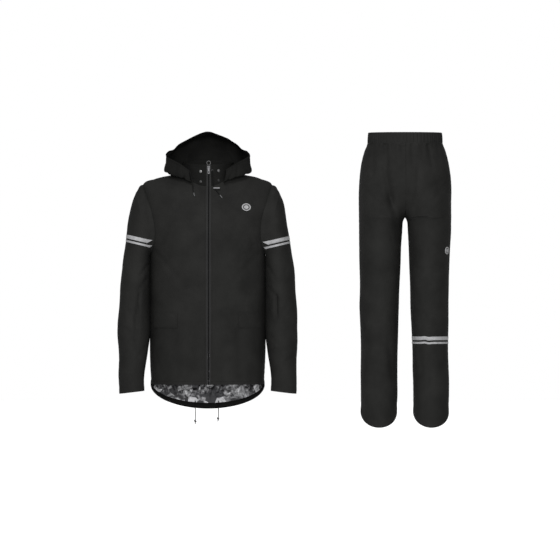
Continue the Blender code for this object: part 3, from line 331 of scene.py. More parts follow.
def sewing(name, lines, body_name="suit", pitch=0.0042, length=0.0030, radius=0.00033, finish=None):
    """Stitches along lines: at every pitch a four-sided bar that swells and dips into the cloth.

    A line is a pair of arrays, its points and the outward normals there.
    """
    ends = np.array((-0.5, 0.0, 0.5))
    swell = np.array((0.35, 1.0, 0.35))
    around = np.arange(4) * math.pi / 2
    groups = []
    for points, normal in lines:
        gone = np.concatenate([[0.0], np.cumsum(np.linalg.norm(np.diff(points, axis=0), axis=1))])
        marks = np.arange(pitch, gone[-1] - pitch, pitch)
        if len(marks) == 0:
            continue
        centre = np.stack([np.interp(marks, gone, points[:, k]) for k in range(3)], -1)
        up = unit(np.stack([np.interp(marks, gone, normal[:, k]) for k in range(3)], -1))
        ahead = np.stack([np.interp(marks + 0.3 * pitch, gone, points[:, k]) for k in range(3)], -1)
        way = unit(ahead - centre)
        side = np.cross(way, up)
        lift = (swell - 0.45) * radius * 1.2
        bar = (centre[:, None, None] + way[:, None, None] * (ends * length)[None, :, None, None]
               + up[:, None, None] * lift[None, :, None, None]
               + (side[:, None, None] * np.cos(around)[None, None, :, None]
                  + up[:, None, None] * np.sin(around)[None, None, :, None])
               * (radius * swell)[None, :, None, None])
        groups.append(bar.reshape(-1, 12, 3))
    bars = np.concatenate(groups)
    one = np.arange(12).reshape(3, 4)
    one = np.concatenate([one, one[:, :1]], axis=1)
    sides = cells(one)[:, ::-1]
    caps = np.array([[0, 1, 2, 3], [11, 10, 9, 8]])
    one_bar = np.concatenate([sides, caps])
    faces = (one_bar[None] + 12 * np.arange(len(bars))[:, None, None]).reshape(-1, 4)
    made = link_mesh(name, bars, faces, finish or thread, sharp=100)
    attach(made, body_name)
    return made


def rows_near(start, armpit, shoulder, end, counts):
    """Rows spaced evenly up to the armpit, by cosine over the armhole, evenly again above it."""
    middle, half = 0.5 * (armpit + shoulder), 0.5 * (shoulder - armpit)
    return np.concatenate([
        np.linspace(start, armpit, counts[0])[:-1],
        middle - half * np.cos(np.linspace(0.0, math.pi, counts[1])),
        np.linspace(shoulder, end, counts[2])[1:]])


def jacket_relief(points, across, row):
    """Folds pressed in, unevenness, puckered seams, a thicker hem, and sides that touch the arms."""
    hem = 0.0009 * (1.0 - step(row, 0.115, 0.130))
    edge = np.exp(-((1.0 - np.abs(across)) / 0.035) ** 2)
    pucker = 0.0007 * edge * np.sin(points[..., 2] * 2 * math.pi / 0.019 + 3.0 * points[..., 0])
    uneven = 0.0011 * ripple(points, 0.150, 3) + 0.00045 * creased(points, 0.115, 5)
    calm = step(row, 0.0, 0.25) * (1.0 - step(row, NECK_ROW - 0.8, NECK_ROW))
    seam = -0.0014 * np.exp(-((1.0 - np.abs(across)) / 0.016) ** 2) * (1.0 - 0.8 * step(row, 5.2, 6.2))
    pressed = fold_depth(points, JACKET_FOLDS) * calm
    z = points[..., 2]
    beside_arm = np.exp(-((1.0 - np.abs(across)) / 0.12) ** 2)
    beside_arm = beside_arm * step(z, -0.74, -0.60) * (1.0 - step(z, -0.270, -0.250))
    uneven = uneven * (0.3 + 0.7 * calm) * (1.0 - 0.85 * beside_arm)
    seam = (seam + pucker * calm) * (1.0 - beside_arm)
    return hem + uneven + seam - pressed + ARM_TOUCH * beside_arm


JACKET_ROWS = rows_near(0.0, ARMPIT_ROW, SHOULDER_ROW, NECK_ROW - 0.012, (110, 76, 28))
hem_lines, body_lines = [], []
for side, sign in (("left", 1.0), ("right", -1.0)):
    shares = np.linspace(0.0, 1.0, 52)
    piece, outer, normal = cloth_piece(
        "front_" + side, front_panel(side), shares, JACKET_ROWS, jacket_relief, rain_cloth,
        "jacket_front_" + side, outward=sign)
    hem_row = int(np.searchsorted(JACKET_ROWS, 0.108))
    hem_lines.append((outer[hem_row], normal[hem_row]))
    hem_lines.append((outer[4], normal[4]))
    body_lines.append((outer[:, 1], normal[:, 1]))
    body_lines.append((outer[:, -4], normal[:, -4]))
piece, outer, normal = cloth_piece(
    "back", back_panel, np.linspace(-1.0, 1.0, 104), JACKET_ROWS, jacket_relief, rain_cloth,
    "jacket_back", outward=-1.0)
hem_lines.append((outer[hem_row], normal[hem_row]))
body_lines += [(outer[:, 3], normal[:, 3]), (outer[:, -4], normal[:, -4])]
sewing("jacket_hem_stitches", hem_lines)
sewing("jacket_seam_stitches", body_lines)


# Sleeves
# The same cloth, one tube for each arm, set into the oval armholes and turned up at the cuffs.
# They hang close to the body, a little forward below the elbow, with creases at the bend.

SLEEVE_RINGS = np.array([
    # outer x, outer z, inner x, inner z, half depth, middle y
    (0.2725, -0.0140, 0.2188, -0.2620, 0.0900, 0.004),
    (0.2890, -0.0560, 0.2197, -0.2700, 0.0890, 0.004),
    (0.3010, -0.1200, 0.2205, -0.2840, 0.0860, 0.004),
    (0.3120, -0.1960, 0.2210, -0.3100, 0.0830, 0.003),
    (0.3230, -0.2850, 0.2213, -0.3580, 0.0810, 0.003),
    (0.3320, -0.3700, 0.2214, -0.4180, 0.0800, 0.000),
    (0.3380, -0.4600, 0.2215, -0.4860, 0.0770, -0.008),
    (0.3396, -0.5400, 0.2216, -0.5550, 0.0720, -0.018),
    (0.3390, -0.6200, 0.2300, -0.6220, 0.0650, -0.030),
    (0.3368, -0.7000, 0.2392, -0.6950, 0.0580, -0.042),
    (0.3342, -0.7805, 0.2406, -0.7695, 0.0510, -0.054),
])
SLEEVE_TROUGHS = {
    # x, z high, z low, depth, half width
    "right": ((0.2680, -0.410, -0.608, 0.0060, 0.010), (0.2330, -0.285, -0.425, 0.0040, 0.008)),
    "left": ((0.2600, -0.405, -0.500, 0.0050, 0.010), (0.2330, -0.300, -0.400, 0.0030, 0.008)),
}
SLEEVE_CREASES = {
    # x high, z high, x low, z low, depth, half width
    "right": ((0.2560, -0.400, 0.2640, -0.475, 0.0050, 0.005), (0.226, -0.290, 0.252, -0.330, 0.0030, 0.007),
              (0.230, -0.345, 0.262, -0.392, 0.0028, 0.008),
              (0.300, -0.470, 0.262, -0.500, 0.0028, 0.008), (0.328, -0.520, 0.276, -0.560, 0.0024, 0.008),
              (0.232, -0.600, 0.262, -0.640, 0.0022, 0.008), (0.240, -0.700, 0.290, -0.715, 0.0018, 0.007)),
    "left": ((0.2590, -0.405, 0.2610, -0.480, 0.0050, 0.005), (0.228, -0.300, 0.256, -0.345, 0.0026, 0.007),
             (0.232, -0.380, 0.262, -0.420, 0.0028, 0.008),
             (0.300, -0.455, 0.262, -0.490, 0.0026, 0.008), (0.236, -0.560, 0.268, -0.590, 0.0022, 0.008),
             (0.326, -0.640, 0.292, -0.665, 0.0020, 0.008)),
}


def armhole_place(turn):
    """Angle and row on the armhole's oval edge: minus cosine in rows, sine in angle."""
    half = 0.5 * (SHOULDER_ROW - ARMPIT_ROW) - 0.008
    row = 0.5 * (ARMPIT_ROW + SHOULDER_ROW) - half * np.cos(turn)
    opening = ARMHOLE_HALF_ANGLE * np.abs(np.sin(turn)) - SEAM_GAP / along(BODY_RINGS, row)[..., 4]
    return 0.5 * math.pi - np.sign(np.sin(turn)) * np.maximum(opening, 0.0), row


def sleeve(side):
    """Ovals hung between the outer and the inner arm line, eased in from the armhole's edge."""
    sign = 1.0 if side == "left" else -1.0

    def surface(turn, ring):
        outer_x, outer_z, inner_x, inner_z, half_depth, middle = np.moveaxis(
            along(SLEEVE_RINGS, ring - 1.0), -1, 0)
        share = 0.5 * (1.0 - np.cos(turn))
        swell = np.sign(np.sin(turn)) * np.abs(np.sin(turn)) ** 0.85
        oval = stack(inner_x + (outer_x - inner_x) * share, middle - half_depth * swell,
                     inner_z + (outer_z - inner_z) * share)
        edge = body(*armhole_place(turn))
        first = np.clip(ring, 0.0, 1.0)[..., None]
        points = edge + (oval - edge) * np.where(ring[..., None] >= 1.0, 1.0, first * (2.0 - first))
        front = np.clip(np.sin(turn) * 3.0, 0.0, 1.0)
        push = np.zeros_like(turn + ring)
        for x_fold, z_high, z_low, depth, half_width in SLEEVE_TROUGHS[side]:
            inside = np.clip((z_high - points[..., 2]) / (z_high - z_low), 0.0, 1.0)
            push += (depth * np.sin(math.pi * inside)
                     * np.exp(-((points[..., 0] - x_fold) / half_width) ** 2))
        points[..., 1] += front * push
        points[..., 0] *= sign
        return points

    return surface


def sleeve_relief(side):
    """Creases on both faces, soft unevenness, gathers at the sleeve head and a thicker cuff."""
    def relief(points, turn, ring):
        mirrored = points * (1.0 if side == "left" else -1.0, 1.0, 1.0)
        creases = fold_depth(mirrored, SLEEVE_CREASES[side])
        creases = creases * np.where(np.sin(turn) > 0, 1.0, 0.8) * step(np.abs(np.sin(turn)), 0.0, 0.25)
        joined = jacket_relief(points, 1.0, armhole_place(turn)[1]) * (1.0 - step(ring, 0.0, 0.8))
        cuff = 0.0009 * step(ring, 10.62, 10.70)
        head = np.exp(-((ring - 0.35) / 0.35) ** 2) * step(ring, 0.0, 0.2)
        gathers = 0.0010 * head * np.cos(turn * 24.0) * step(-np.cos(turn), -0.2, 0.6)
        over = step(-np.cos(turn), 0.15, 0.85)
        sunk = -0.0022 * np.exp(-((ring - 0.12) / 0.22) ** 2) * step(ring, 0.0, 0.10) * (1.0 - over)
        sunk = sunk + 0.0040 * over * np.exp(-((ring - 0.22) / 0.26) ** 2) * step(ring, 0.0, 0.10)
        uneven = 0.0012 * ripple(points, 0.120, 8) + 0.0005 * creased(points, 0.090, 9)
        beside_body = np.exp(-(1.0 - np.cos(turn)) / 0.08) * step(-points[..., 2], 0.250, 0.275)
        beside_body = beside_body * (1.0 - step(-points[..., 2], 0.60, 0.76))
        loose = (uneven - creases) * step(ring, 0.0, 0.6) * (1.0 - 0.85 * beside_body)
        return joined + cuff + gathers + sunk + loose + ARM_TOUCH * beside_body

    return relief


SLEEVE_RING_STEPS = np.concatenate([np.linspace(0.0, 1.0, 24)[:-1], np.linspace(1.0, 11.0, 146)])
cuff_lines = []
for side, sign in (("left", 1.0), ("right", -1.0)):
    turns = np.linspace(0.0, 2 * math.pi, 81)[:-1]
    edge_normal = normals(body, *armhole_place(turns)) * (sign, 1.0, 1.0)
    piece, outer, normal = cloth_piece(
        "arm_" + side, sleeve(side), turns, SLEEVE_RING_STEPS, sleeve_relief(side), rain_cloth,
        "sleeve_" + side, outward=-sign, ring=True,
        edge_normal=edge_normal)
    cuff_row = int(np.searchsorted(SLEEVE_RING_STEPS, 10.64))
    cuff_lines.append((outer[cuff_row], normal[cuff_row]))
    cuff_lines.append((outer[-4], normal[-4]))
sewing("cuff_stitches", cuff_lines)


# Reflective tapes on the sleeves
# Light grey glass-bead tape: a wide strip over a narrow one, heat-bonded round the upper arm from
# the front armhole seam to the back one. They slope down towards the body.

TAPE_OUTER_Z, TAPE_OUTER_X, TAPE_SLOPE = -0.1775, 0.3045, 0.235
LEFT_TAPES_LOWER = 0.0065


def reflective(name):
    """Grey tape with a fine diamond grid as bump and lighter and darker beads as noise."""
    return woven(name, (0.086, 0.086, 0.088), (0.118, 0.118, 0.121), roughness=0.5, specular=0.12,
                 mottle=60.0, weave=0.00010)


silver_tape = reflective("reflective_tape")


def tape_on_sleeve(name, side, drop, height, node):
    """Strip of the sleeve between two straight sloping lines, found on a fine grid of turns."""
    sign = 1.0 if side == "left" else -1.0
    surface = sleeve(side)
    turn, ring = np.linspace(0.0, 2 * math.pi, 361), np.linspace(0.06, 6.0, 600)
    points = surface(*np.meshgrid(turn, ring))
    above = points[..., 2] - (TAPE_OUTER_Z - drop - TAPE_SLOPE * (TAPE_OUTER_X - np.abs(points[..., 0])))

    def ring_at(level):
        """Ring where a turn's path passes a level, between the two nearest grid rings."""
        low = np.clip((above > -level).sum(axis=0), 1, len(ring) - 1)
        before, after = above[low - 1, np.arange(len(turn))], above[low, np.arange(len(turn))]
        return ring[low - 1] + (ring[low] - ring[low - 1]) * np.clip(
            (before + level) / np.maximum(before - after, 1e-9), 0.0, 1.0)

    top, bottom = ring_at(0.0), ring_at(height)
    wide = np.where((bottom - top > 0.12) & (top > 0.07))[0]
    marks = np.linspace(turn[wide[0]], turn[wide[-1]], 150)
    shares = np.array((0.0, 0.03, 0.5, 0.97, 1.0))
    upper, lower = np.interp(marks, turn, top), np.interp(marks, turn, bottom)
    rings = upper + (lower - upper) * shares[:, None]
    turns = np.broadcast_to(marks, rings.shape)
    base, normal = surface(turns, rings), normals(surface, turns, rings, -sign)
    lift = sleeve_relief(side)(base, turns, rings) + 0.0009
    lift[[0, -1]] -= 0.0005
    outer = base + normal * lift[..., None]
    made = wall(name, outer, outer - normal * 0.0008, silver_tape, -sign)
    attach(made, "suit")
    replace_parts(made, node)
    declare_cut(outer, False)


for side in ("left", "right"):
    for width, drop, height in (("wide", 0.0, 0.0145), ("narrow", 0.0205, 0.0080)):
        lower = LEFT_TAPES_LOWER if side == "left" else 0.0
        tape_on_sleeve(f"arm_tape_{width}_{side}", side, drop + lower, height,
                       f"sleeve_stripe_{width}_{side}")


# Stand-up collar
# Two halves of doubled cloth from the zip to the middle of the back, topstitched along the upper
# edge, with two press studs on each side of the zip. The hood is sewn on outside its foot.

COLLAR_TOP = 0.087


def collar_half_width(rise):
    """Half width, a little less at the top edge than at the foot."""
    return NECK_HALF_WIDTH + (0.098 - NECK_HALF_WIDTH) * rise


def collar(angle, rise):
    """Upright wall on the neck ring that leans out by a few millimetres to its top edge."""
    z_front, z_side, z_back, half_width, front, back = BODY_RINGS[-1]
    cosine = np.cos(angle)
    depth = np.where(cosine > 0, front + 0.006 * rise, back + 0.003 * rise)
    foot = z_side + (np.where(cosine > 0, z_front, z_back) - z_side) * cosine ** 2
    top = COLLAR_TOP + np.where(cosine > 0, 0.010 * (1 - cosine ** 2), 0.010 + 0.012 * cosine ** 2)
    return stack(collar_half_width(rise) * np.sin(angle), -depth * cosine, foot + (top - foot) * rise)


def collar_half(side):
    """The collar by share of the angle from the zip tape to the middle of the back."""
    sign = 1.0 if side == "left" else -1.0

    def surface(share, rise):
        start = np.arcsin((TAPE_EDGE + SEAM_GAP + sign * ZIP_X) / collar_half_width(rise))
        end = math.pi - SEAM_GAP / 2 / BODY_RINGS[-1][5]
        return collar(sign * (start + (end - start) * share), rise)

    return surface


def collar_relief(points, share, rise):
    """Thicker turned edges and slight puffing between them."""
    edge = 0.0005 * (step(rise, 0.86, 0.90) + 1.0 - step(rise, 0.06, 0.12))
    uneven = 0.0005 * ripple(points, 0.045, 12) * np.sin(math.pi * np.clip(rise, 0.0, 1.0))
    return edge + uneven


collar_lines = []
for side, sign in (("left", 1.0), ("right", -1.0)):
    # The collar is coloured with the darker copy of the cloth, as painted shade.
    piece, outer, normal = cloth_piece(
        "neck_" + side, collar_half(side), np.linspace(0.0, 1.0, 90), np.linspace(0.004, 1.0, 30),
        collar_relief, shade_darkened_cloth, "collar_" + side, thick=0.0018, outward=sign)
    collar_lines += [(outer[25], normal[25]), (outer[3:27, 2], normal[3:27, 2])]
sewing("collar_stitches", collar_lines)


# Hood
# Three panels of the same cloth, a side, the centre over the back and the other side, sewn to the
# collar's foot and lying down open behind it, coloured with the darker copy of the cloth as painted
# shade. The rim is turned in as a channel for the drawcord.

HOOD_STATIONS = (
    # rim, upper bulge, lower bulge, degrees round the neck from the front
    ((0.0700, -0.0940, 0.0670), (0.0690, -0.0980, 0.0460), (0.0620, -0.0940, 0.0190), 36),
    ((0.1050, -0.0780, 0.0915), (0.1130, -0.0820, 0.0700), (0.1130, -0.0790, 0.0400), 60),
    ((0.1560, -0.0340, 0.1200), (0.1570, -0.0360, 0.0900), (0.1610, -0.0320, 0.0560), 84),
    ((0.1500, 0.0020, 0.1395), (0.1570, 0.0080, 0.1050), (0.1570, 0.0150, 0.0640), 98),
    ((0.1290, 0.0280, 0.1480), (0.1420, 0.0500, 0.1200), (0.1420, 0.0560, 0.0720), 117),
    ((0.0970, 0.0500, 0.1755), (0.1090, 0.0920, 0.1500), (0.1060, 0.1050, 0.0800), 143),
    ((0.0000, 0.0700, 0.2139), (0.0000, 0.1380, 0.1880), (0.0000, 0.1450, 0.0900), 180),
)
HOOD_MIDDLE = len(HOOD_STATIONS) - 1
half_hood = np.array([(*rim, *upper, *lower, math.radians(180 - turned))
                      for rim, upper, lower, turned in HOOD_STATIONS])
HOOD_TABLE = np.concatenate([half_hood * ((-1.0, 1.0, 1.0) * 3 + (-1.0,)), half_hood[-2::-1]])
HOOD_FOLDS = (
    # station, drop at its start and end, depth, half width in stations
    (0.55, 0.35, 1.0, 0.0050, 0.10), (1.10, 0.10, 0.75, 0.0030, 0.12), (1.75, 0.45, 1.0, 0.0050, 0.14),
    (2.60, 0.55, 1.0, 0.0035, 0.14), (3.60, 0.60, 1.0, 0.0030, 0.15), (5.20, 0.62, 1.0, 0.0030, 0.12),
    (6.60, 0.66, 1.0, 0.0030, 0.12), (8.50, 0.60, 1.0, 0.0030, 0.15), (9.50, 0.55, 1.0, 0.0035, 0.14),
    (10.30, 0.40, 1.0, 0.0045, 0.14), (10.95, 0.15, 0.80, 0.0030, 0.12), (11.50, 0.35, 1.0, 0.0045, 0.10),
)


def hood(station, drop):
    """Ribs bent from the rim over two bulges to the collar's foot, blended between stations."""
    columns = along(HOOD_TABLE, station)
    rim, upper, lower = columns[..., 0:3], columns[..., 3:6], columns[..., 6:9]
    foot = collar(math.pi - columns[..., 9], np.zeros_like(columns[..., 9]))
    foot[..., :2] *= 1.0 + 0.0017 / NECK_HALF_WIDTH
    foot[..., 2] += 0.0035
    place = np.clip(np.asarray(drop, float), 0.0, 1.0)[..., None] * 3.0
    first = bend(rim, rim, upper, lower, np.minimum(place, 1.0))
    middle = bend(rim, upper, lower, foot, np.clip(place - 1.0, 0.0, 1.0))
    last = bend(upper, lower, foot, foot, np.maximum(place - 2.0, 0.0))
    return np.where(place < 1.0, first, np.where(place < 2.0, middle, last))


def hood_relief(points, station, drop):
    """Folds towards the neck seam, a raised cord channel at the rim with gathers, unevenness."""
    push = np.zeros_like(points[..., 0])
    for at, start, end, depth, half_width in HOOD_FOLDS:
        inside = np.sin(math.pi * np.clip((drop - start) / (end - start), 0.0, 1.0))
        push += depth * inside * np.exp(-((station - at - 0.25 * (drop - start)) / half_width) ** 2)
    channel = 0.0016 * (1.0 - step(drop, 0.10, 0.135)) * step(drop, -0.01, 0.03)
    gathers = 0.0007 * np.sin(station * 31.0) * np.exp(-((drop - 0.16) / 0.10) ** 2)
    seam = step(np.abs(drop), 0.0, 0.05) * step(1.0 - drop, 0.0, 0.08)
    uneven = 0.0014 * ripple(points, 0.085, 21) + 0.0008 * creased(points, 0.070, 22)
    return channel + gathers + (uneven - push) * seam


hood_lines = []
for node, start, end, count in (
        ("hood_right", 0.0, 4.9995, 90),
        ("hood_centre", 5.0005, 6.9995, 60),
        ("hood_left", 7.0005, 12.0, 90)):
    piece, outer, normal = cloth_piece(
        node.replace("hood", "hood_panel"), hood, np.linspace(start, end, count),
        np.linspace(0.0, 1.0, 84), hood_relief, shade_darkened_cloth, node)
    hood_lines.append((outer[10], normal[10]))
    for column in (2, -3):
        hood_lines.append((outer[:, column], normal[:, column]))
sewing("hood_stitches", hood_lines)


# Hip pocket flaps
# A rounded rectangle of doubled cloth on each front, sewn on along its upper edge over the pocket
# mouth and free below, with one row of topstitching round it.

FLAP_SHARES, FLAP_ROWS = (0.337, 0.752), (1.168, 1.505)


def flap_relief(share, row):
    """Puffs out towards the free lower edge by a sine, over the front's own relief."""
    drop = (FLAP_ROWS[1] - row) / (FLAP_ROWS[1] - FLAP_ROWS[0])
    return 0.0010 + 0.0016 * np.sin(0.5 * math.pi * np.clip(drop, 0.0, 1.0)) ** 2


flap_lines = []
for side, sign in (("left", 1.0), ("right", -1.0)):
    surface = front_panel(side)
    share, row = np.meshgrid(np.linspace(*FLAP_SHARES, 60), np.linspace(*FLAP_ROWS, 44))
    base, normal = surface(share, row), normals(surface, share, row, sign)
    outer = base + normal * (jacket_relief(base, share, row) + flap_relief(share, row))[..., None]
    made = wall("flap_" + side, outer, outer - normal * 0.0011, rain_cloth, sign)
    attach(made, "suit")
    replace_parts(made, "pocket_flap_" + side)
    declare_cut(outer, False)
    rim = [(outer[3], normal[3]), (outer[3:-2, 2], normal[3:-2, 2]), (outer[3:-2, -3], normal[3:-2, -3]),
           (outer[-3], normal[-3]), (outer[-6], normal[-6])]
    flap_lines += rim
sewing("flap_stitches", flap_lines)


# Lining inside the lower back, with its facing
# Silver-coated film that lies loose and crinkled inside the tail, below a plain black facing strip
# that binds it to the curved hem. It shows under the front hem. Its colour carries painted
# reflections of the crinkles, and the facing carries painted shade in its darker cloth.

FACING_ROW = 0.105


def silver_with_painted_reflections(name):
    """Silvered film: metallic grey with painted reflections, its colour darker and lighter from place to
    place for crinkles that catch and miss the light, with sharp crinkles as bump.
    """
    finish = bpy.data.materials.new(name)
    finish.use_nodes = True
    tree = finish.node_tree
    shader = tree.nodes["Principled BSDF"]
    set_value(shader, Metallic=0.7, Roughness=0.42, Specular_IOR_Level=0.2)
    place = tree.nodes.new("ShaderNodeTexCoord")
    # Painted reflections: Voronoi cells and noise swing the colour between near black and bright grey.
    reflection_patches = tree.nodes.new("ShaderNodeTexVoronoi")
    set_value(reflection_patches, Scale=34.0)
    reflection_streaks = tree.nodes.new("ShaderNodeTexNoise")
    set_value(reflection_streaks, Scale=30.0, Detail=5.0, Roughness=0.6, Distortion=1.5)
    shade = tree.nodes.new("ShaderNodeMath")
    shade.operation = "MULTIPLY_ADD"
    shade.inputs[1].default_value = 0.42
    ramp = tree.nodes.new("ShaderNodeValToRGB")
    ramp.color_ramp.elements[0].position, ramp.color_ramp.elements[1].position = 0.51, 0.69
    ramp.color_ramp.elements[0].color = (0.016, 0.016, 0.017, 1.0)
    ramp.color_ramp.elements[1].color = (0.21, 0.21, 0.215, 1.0)
    tree.links.new(place.outputs["Object"], reflection_patches.inputs["Vector"])
    tree.links.new(place.outputs["Object"], reflection_streaks.inputs["Vector"])
    tree.links.new(reflection_patches.outputs["Color"], shade.inputs[0])
    less = tree.nodes.new("ShaderNodeMath")
    less.operation = "MULTIPLY"
    less.inputs[1].default_value = 0.62
    tree.links.new(reflection_streaks.outputs["Fac"], less.inputs[0])
    tree.links.new(less.outputs[0], shade.inputs[2])
    tree.links.new(shade.outputs[0], ramp.inputs["Fac"])
    tree.links.new(ramp.outputs["Color"], shader.inputs["Base Color"])
    facets = tree.nodes.new("ShaderNodeTexVoronoi")
    set_value(facets, Scale=75.0)
    bump = tree.nodes.new("ShaderNodeBump")
    set_value(bump, Strength=0.6, Distance=0.0015)
    tree.links.new(place.outputs["Object"], facets.inputs["Vector"])
    tree.links.new(facets.outputs["Distance"], bump.inputs["Height"])
    tree.links.new(bump.outputs["Normal"], shader.inputs["Normal"])
    return finish


silver_lining = silver_with_painted_reflections("silver_lining")
share, row = np.meshgrid(np.linspace(-0.82, 0.82, 170), np.linspace(FACING_ROW + 0.002, 1.5, 84))
base, normal = back_panel(share, row), normals(back_panel, share, row, 1.0)
fade = step(row, FACING_ROW, FACING_ROW + 0.16)
crinkle = 0.0030 * creased(base, 0.045, 31, 0.5) + 0.0018 * np.abs(ripple(base, 0.035, 32))
inside_back = -jacket_relief(base, share, row)
outer = base + normal * (inside_back + 0.0026 + fade * (0.0042 + crinkle))[..., None]
made = wall("tail_lining", outer, outer - normal * 0.0006, silver_lining, 1.0)
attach(made, "suit")
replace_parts(made, "back_lining")
declare_cut(outer, False)

share, row = np.meshgrid(np.linspace(-0.93, 0.93, 200), np.linspace(0.0, FACING_ROW, 16))
base, normal = back_panel(share, row), normals(back_panel, share, row, 1.0)
inside_back = -jacket_relief(base, share, row)
outer = base + normal * (inside_back + 0.0022 + 0.0008 * np.sin(math.pi * row / FACING_ROW))[..., None]
# The facing is coloured with the darker copy of the cloth, as painted shade inside the tail.
made = wall("tail_hem_facing", outer, outer - normal * 0.0008, shade_darkened_cloth, 1.0)
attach(made, "suit")
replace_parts(made, "tail_facing")
declare_cut(outer, False)
sewing("facing_stitches", [(outer[3], normal[3]), (outer[12], normal[12])])


# Front zip
# A moulded zip from the hem to the collar's top: black tapes with a grey laminated edge, two rows
# of small interlocked teeth, and a painted metal slider whose pull tab hangs on a pin.

CHAIN_HALF = 0.0026


def front_face(x, row):
    """Front of the body, and of the collar for rows past the neck, at a given x."""
    on_body = np.minimum(row, NECK_ROW)
    lower = body(np.arcsin(x / along(BODY_RINGS, on_body)[..., 3]), on_body)
    rise = np.clip(row - NECK_ROW, 0.0, 1.0)
    upper = collar(np.arcsin(x / collar_half_width(rise)), rise)
    return np.where((row > NECK_ROW)[..., None], upper, lower)


def painted_metal(name, color, roughness=0.38):
    """Grey metal with fine grain in its roughness and slight tone changes."""
    finish = bpy.data.materials.new(name)
    finish.use_nodes = True
    tree = finish.node_tree
    shader = tree.nodes["Principled BSDF"]
    set_value(shader, Metallic=0.85, Roughness=roughness)
    place = tree.nodes.new("ShaderNodeTexCoord")
    grain = tree.nodes.new("ShaderNodeTexNoise")
    set_value(grain, Scale=900.0, Detail=4.0)
    ramp = tree.nodes.new("ShaderNodeValToRGB")
    ramp.color_ramp.elements[0].color = (*(0.7 * c for c in color), 1.0)
    ramp.color_ramp.elements[1].color = (*color, 1.0)
    tree.links.new(place.outputs["Object"], grain.inputs["Vector"])
    tree.links.new(grain.outputs["Fac"], ramp.inputs["Fac"])
    tree.links.new(ramp.outputs["Color"], shader.inputs["Base Color"])
    bump = tree.nodes.new("ShaderNodeBump")
    set_value(bump, Strength=0.3, Distance=0.00005)
    tree.links.new(grain.outputs["Fac"], bump.inputs["Height"])
    tree.links.new(bump.outputs["Normal"], shader.inputs["Normal"])
    return finish


tape_cloth = woven("zip_tape_cloth", (0.0066, 0.0066, 0.0066), (0.0086, 0.0086, 0.0086), roughness=0.6,
                   specular=0.03)
tooth_plastic = woven("zip_tooth_plastic", (0.0025, 0.0025, 0.0025), (0.0036, 0.0036, 0.0036), roughness=0.7,
                      specular=0.02)
grey_metal = painted_metal("grey_metal", (0.055, 0.055, 0.057), 0.6)
zip_rows = np.concatenate([np.linspace(0.0, NECK_ROW, 200)[:-1], np.linspace(NECK_ROW, NECK_ROW + 0.996, 30)])
for side, near, far in (("left", CHAIN_HALF + 0.0004, TAPE_EDGE),
                        ("right", -TAPE_EDGE, -CHAIN_HALF - 0.0004)):
    x, row = np.meshgrid(ZIP_X + np.linspace(near, far, 12), zip_rows)
    base, normal = front_face(x, row), normals(front_face, x, row, 1.0)
    away = np.abs(x - ZIP_X)
    welt = 0.0011 * np.exp(-((away - 0.0068) / 0.0012) ** 2)
    outer = base + normal * (welt + 0.0002)[..., None]
    made = wall("tape_" + side, outer, outer - normal * 0.0010, tape_cloth, 1.0)
    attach(made, "suit")
    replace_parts(made, "zip_tape_" + side)
    declare_cut(outer, False)


def zip_teeth(name, finish):
    """Interlocked teeth: two rows of small bevelled blocks, half a pitch apart, along the zip.

    A block is two rings of eight points, the upper one smaller, under a cap.
    """
    fine = np.linspace(0.004, NECK_ROW + 0.985, 4000)
    line = front_face(np.full_like(fine, ZIP_X), fine)
    out = normals(front_face, np.full_like(fine, ZIP_X), fine)
    gone = np.concatenate([[0.0], np.cumsum(np.linalg.norm(np.diff(line, axis=0), axis=1))])
    pitch = 0.0024
    blocks = []
    for shift, sign in ((0.0, 1.0), (0.5, -1.0)):
        marks = np.arange(pitch * (1 + shift), gone[-1] - pitch, pitch)
        centre = np.stack([np.interp(marks, gone, line[:, k]) for k in range(3)], -1)
        up = unit(np.stack([np.interp(marks, gone, out[:, k]) for k in range(3)], -1))
        across = np.broadcast_to((1.0, 0.0, 0.0), up.shape)
        way = np.cross(up, across)
        corner = np.array(((-1, -1), (1, -1), (1, 1), (-1, 1)), float)
        for ring_size, ring_lift in ((1.0, -0.0004), (1.0, 0.0006), (0.70, 0.0011)):
            flat = corner * (0.0017 * ring_size, 0.00062 * ring_size) + (0.0008 * sign, 0.0)
            blocks.append((centre[:, None] + across[:, None] * flat[:, 0, None]
                           + way[:, None] * flat[:, 1, None] + up[:, None] * ring_lift))
    groups = [np.stack(blocks[3 * k:3 * k + 3], axis=1).reshape(-1, 12, 3) for k in range(2)]
    points = np.concatenate(groups)
    ring = np.arange(12).reshape(3, 4)
    ring = np.concatenate([ring, ring[:, :1]], axis=1)
    faces = np.concatenate([cells(ring), [[0, 3, 2, 1]], [[8, 9, 10, 11]]])
    faces = (faces[None] + 12 * np.arange(len(points))[:, None, None]).reshape(-1, 4)
    made = link_mesh(name, points, faces, finish, sharp=30)
    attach(made, "suit")
    return made


x, row = np.meshgrid(ZIP_X + np.linspace(-CHAIN_HALF, CHAIN_HALF, 5), zip_rows)
base, normal = front_face(x, row), normals(front_face, x, row, 1.0)
ground = wall("zip_ground", base - normal * 0.0004, base - normal * 0.0012, tooth_plastic, 1.0)
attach(ground, "suit")
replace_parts(zip_teeth("zip_teeth", tooth_plastic), "zip_chain")
for node in ("zip_slider", "zip_pull"):
    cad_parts[node].data.materials.clear()
    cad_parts[node].data.materials.append(grey_metal)


# Press studs, eyelet and the loop at the top of the zip
# Dull metal caps of the collar's press studs and the eyelet where the drawcord leaves the collar,
# with a small loop of black cord over the end of the zip. The lower studs carry painted shade: a darker
# copy of the stud metal for the shadow under the collar's lower edge.

stud_metal = painted_metal("stud_metal", (0.075, 0.075, 0.075), 0.45)
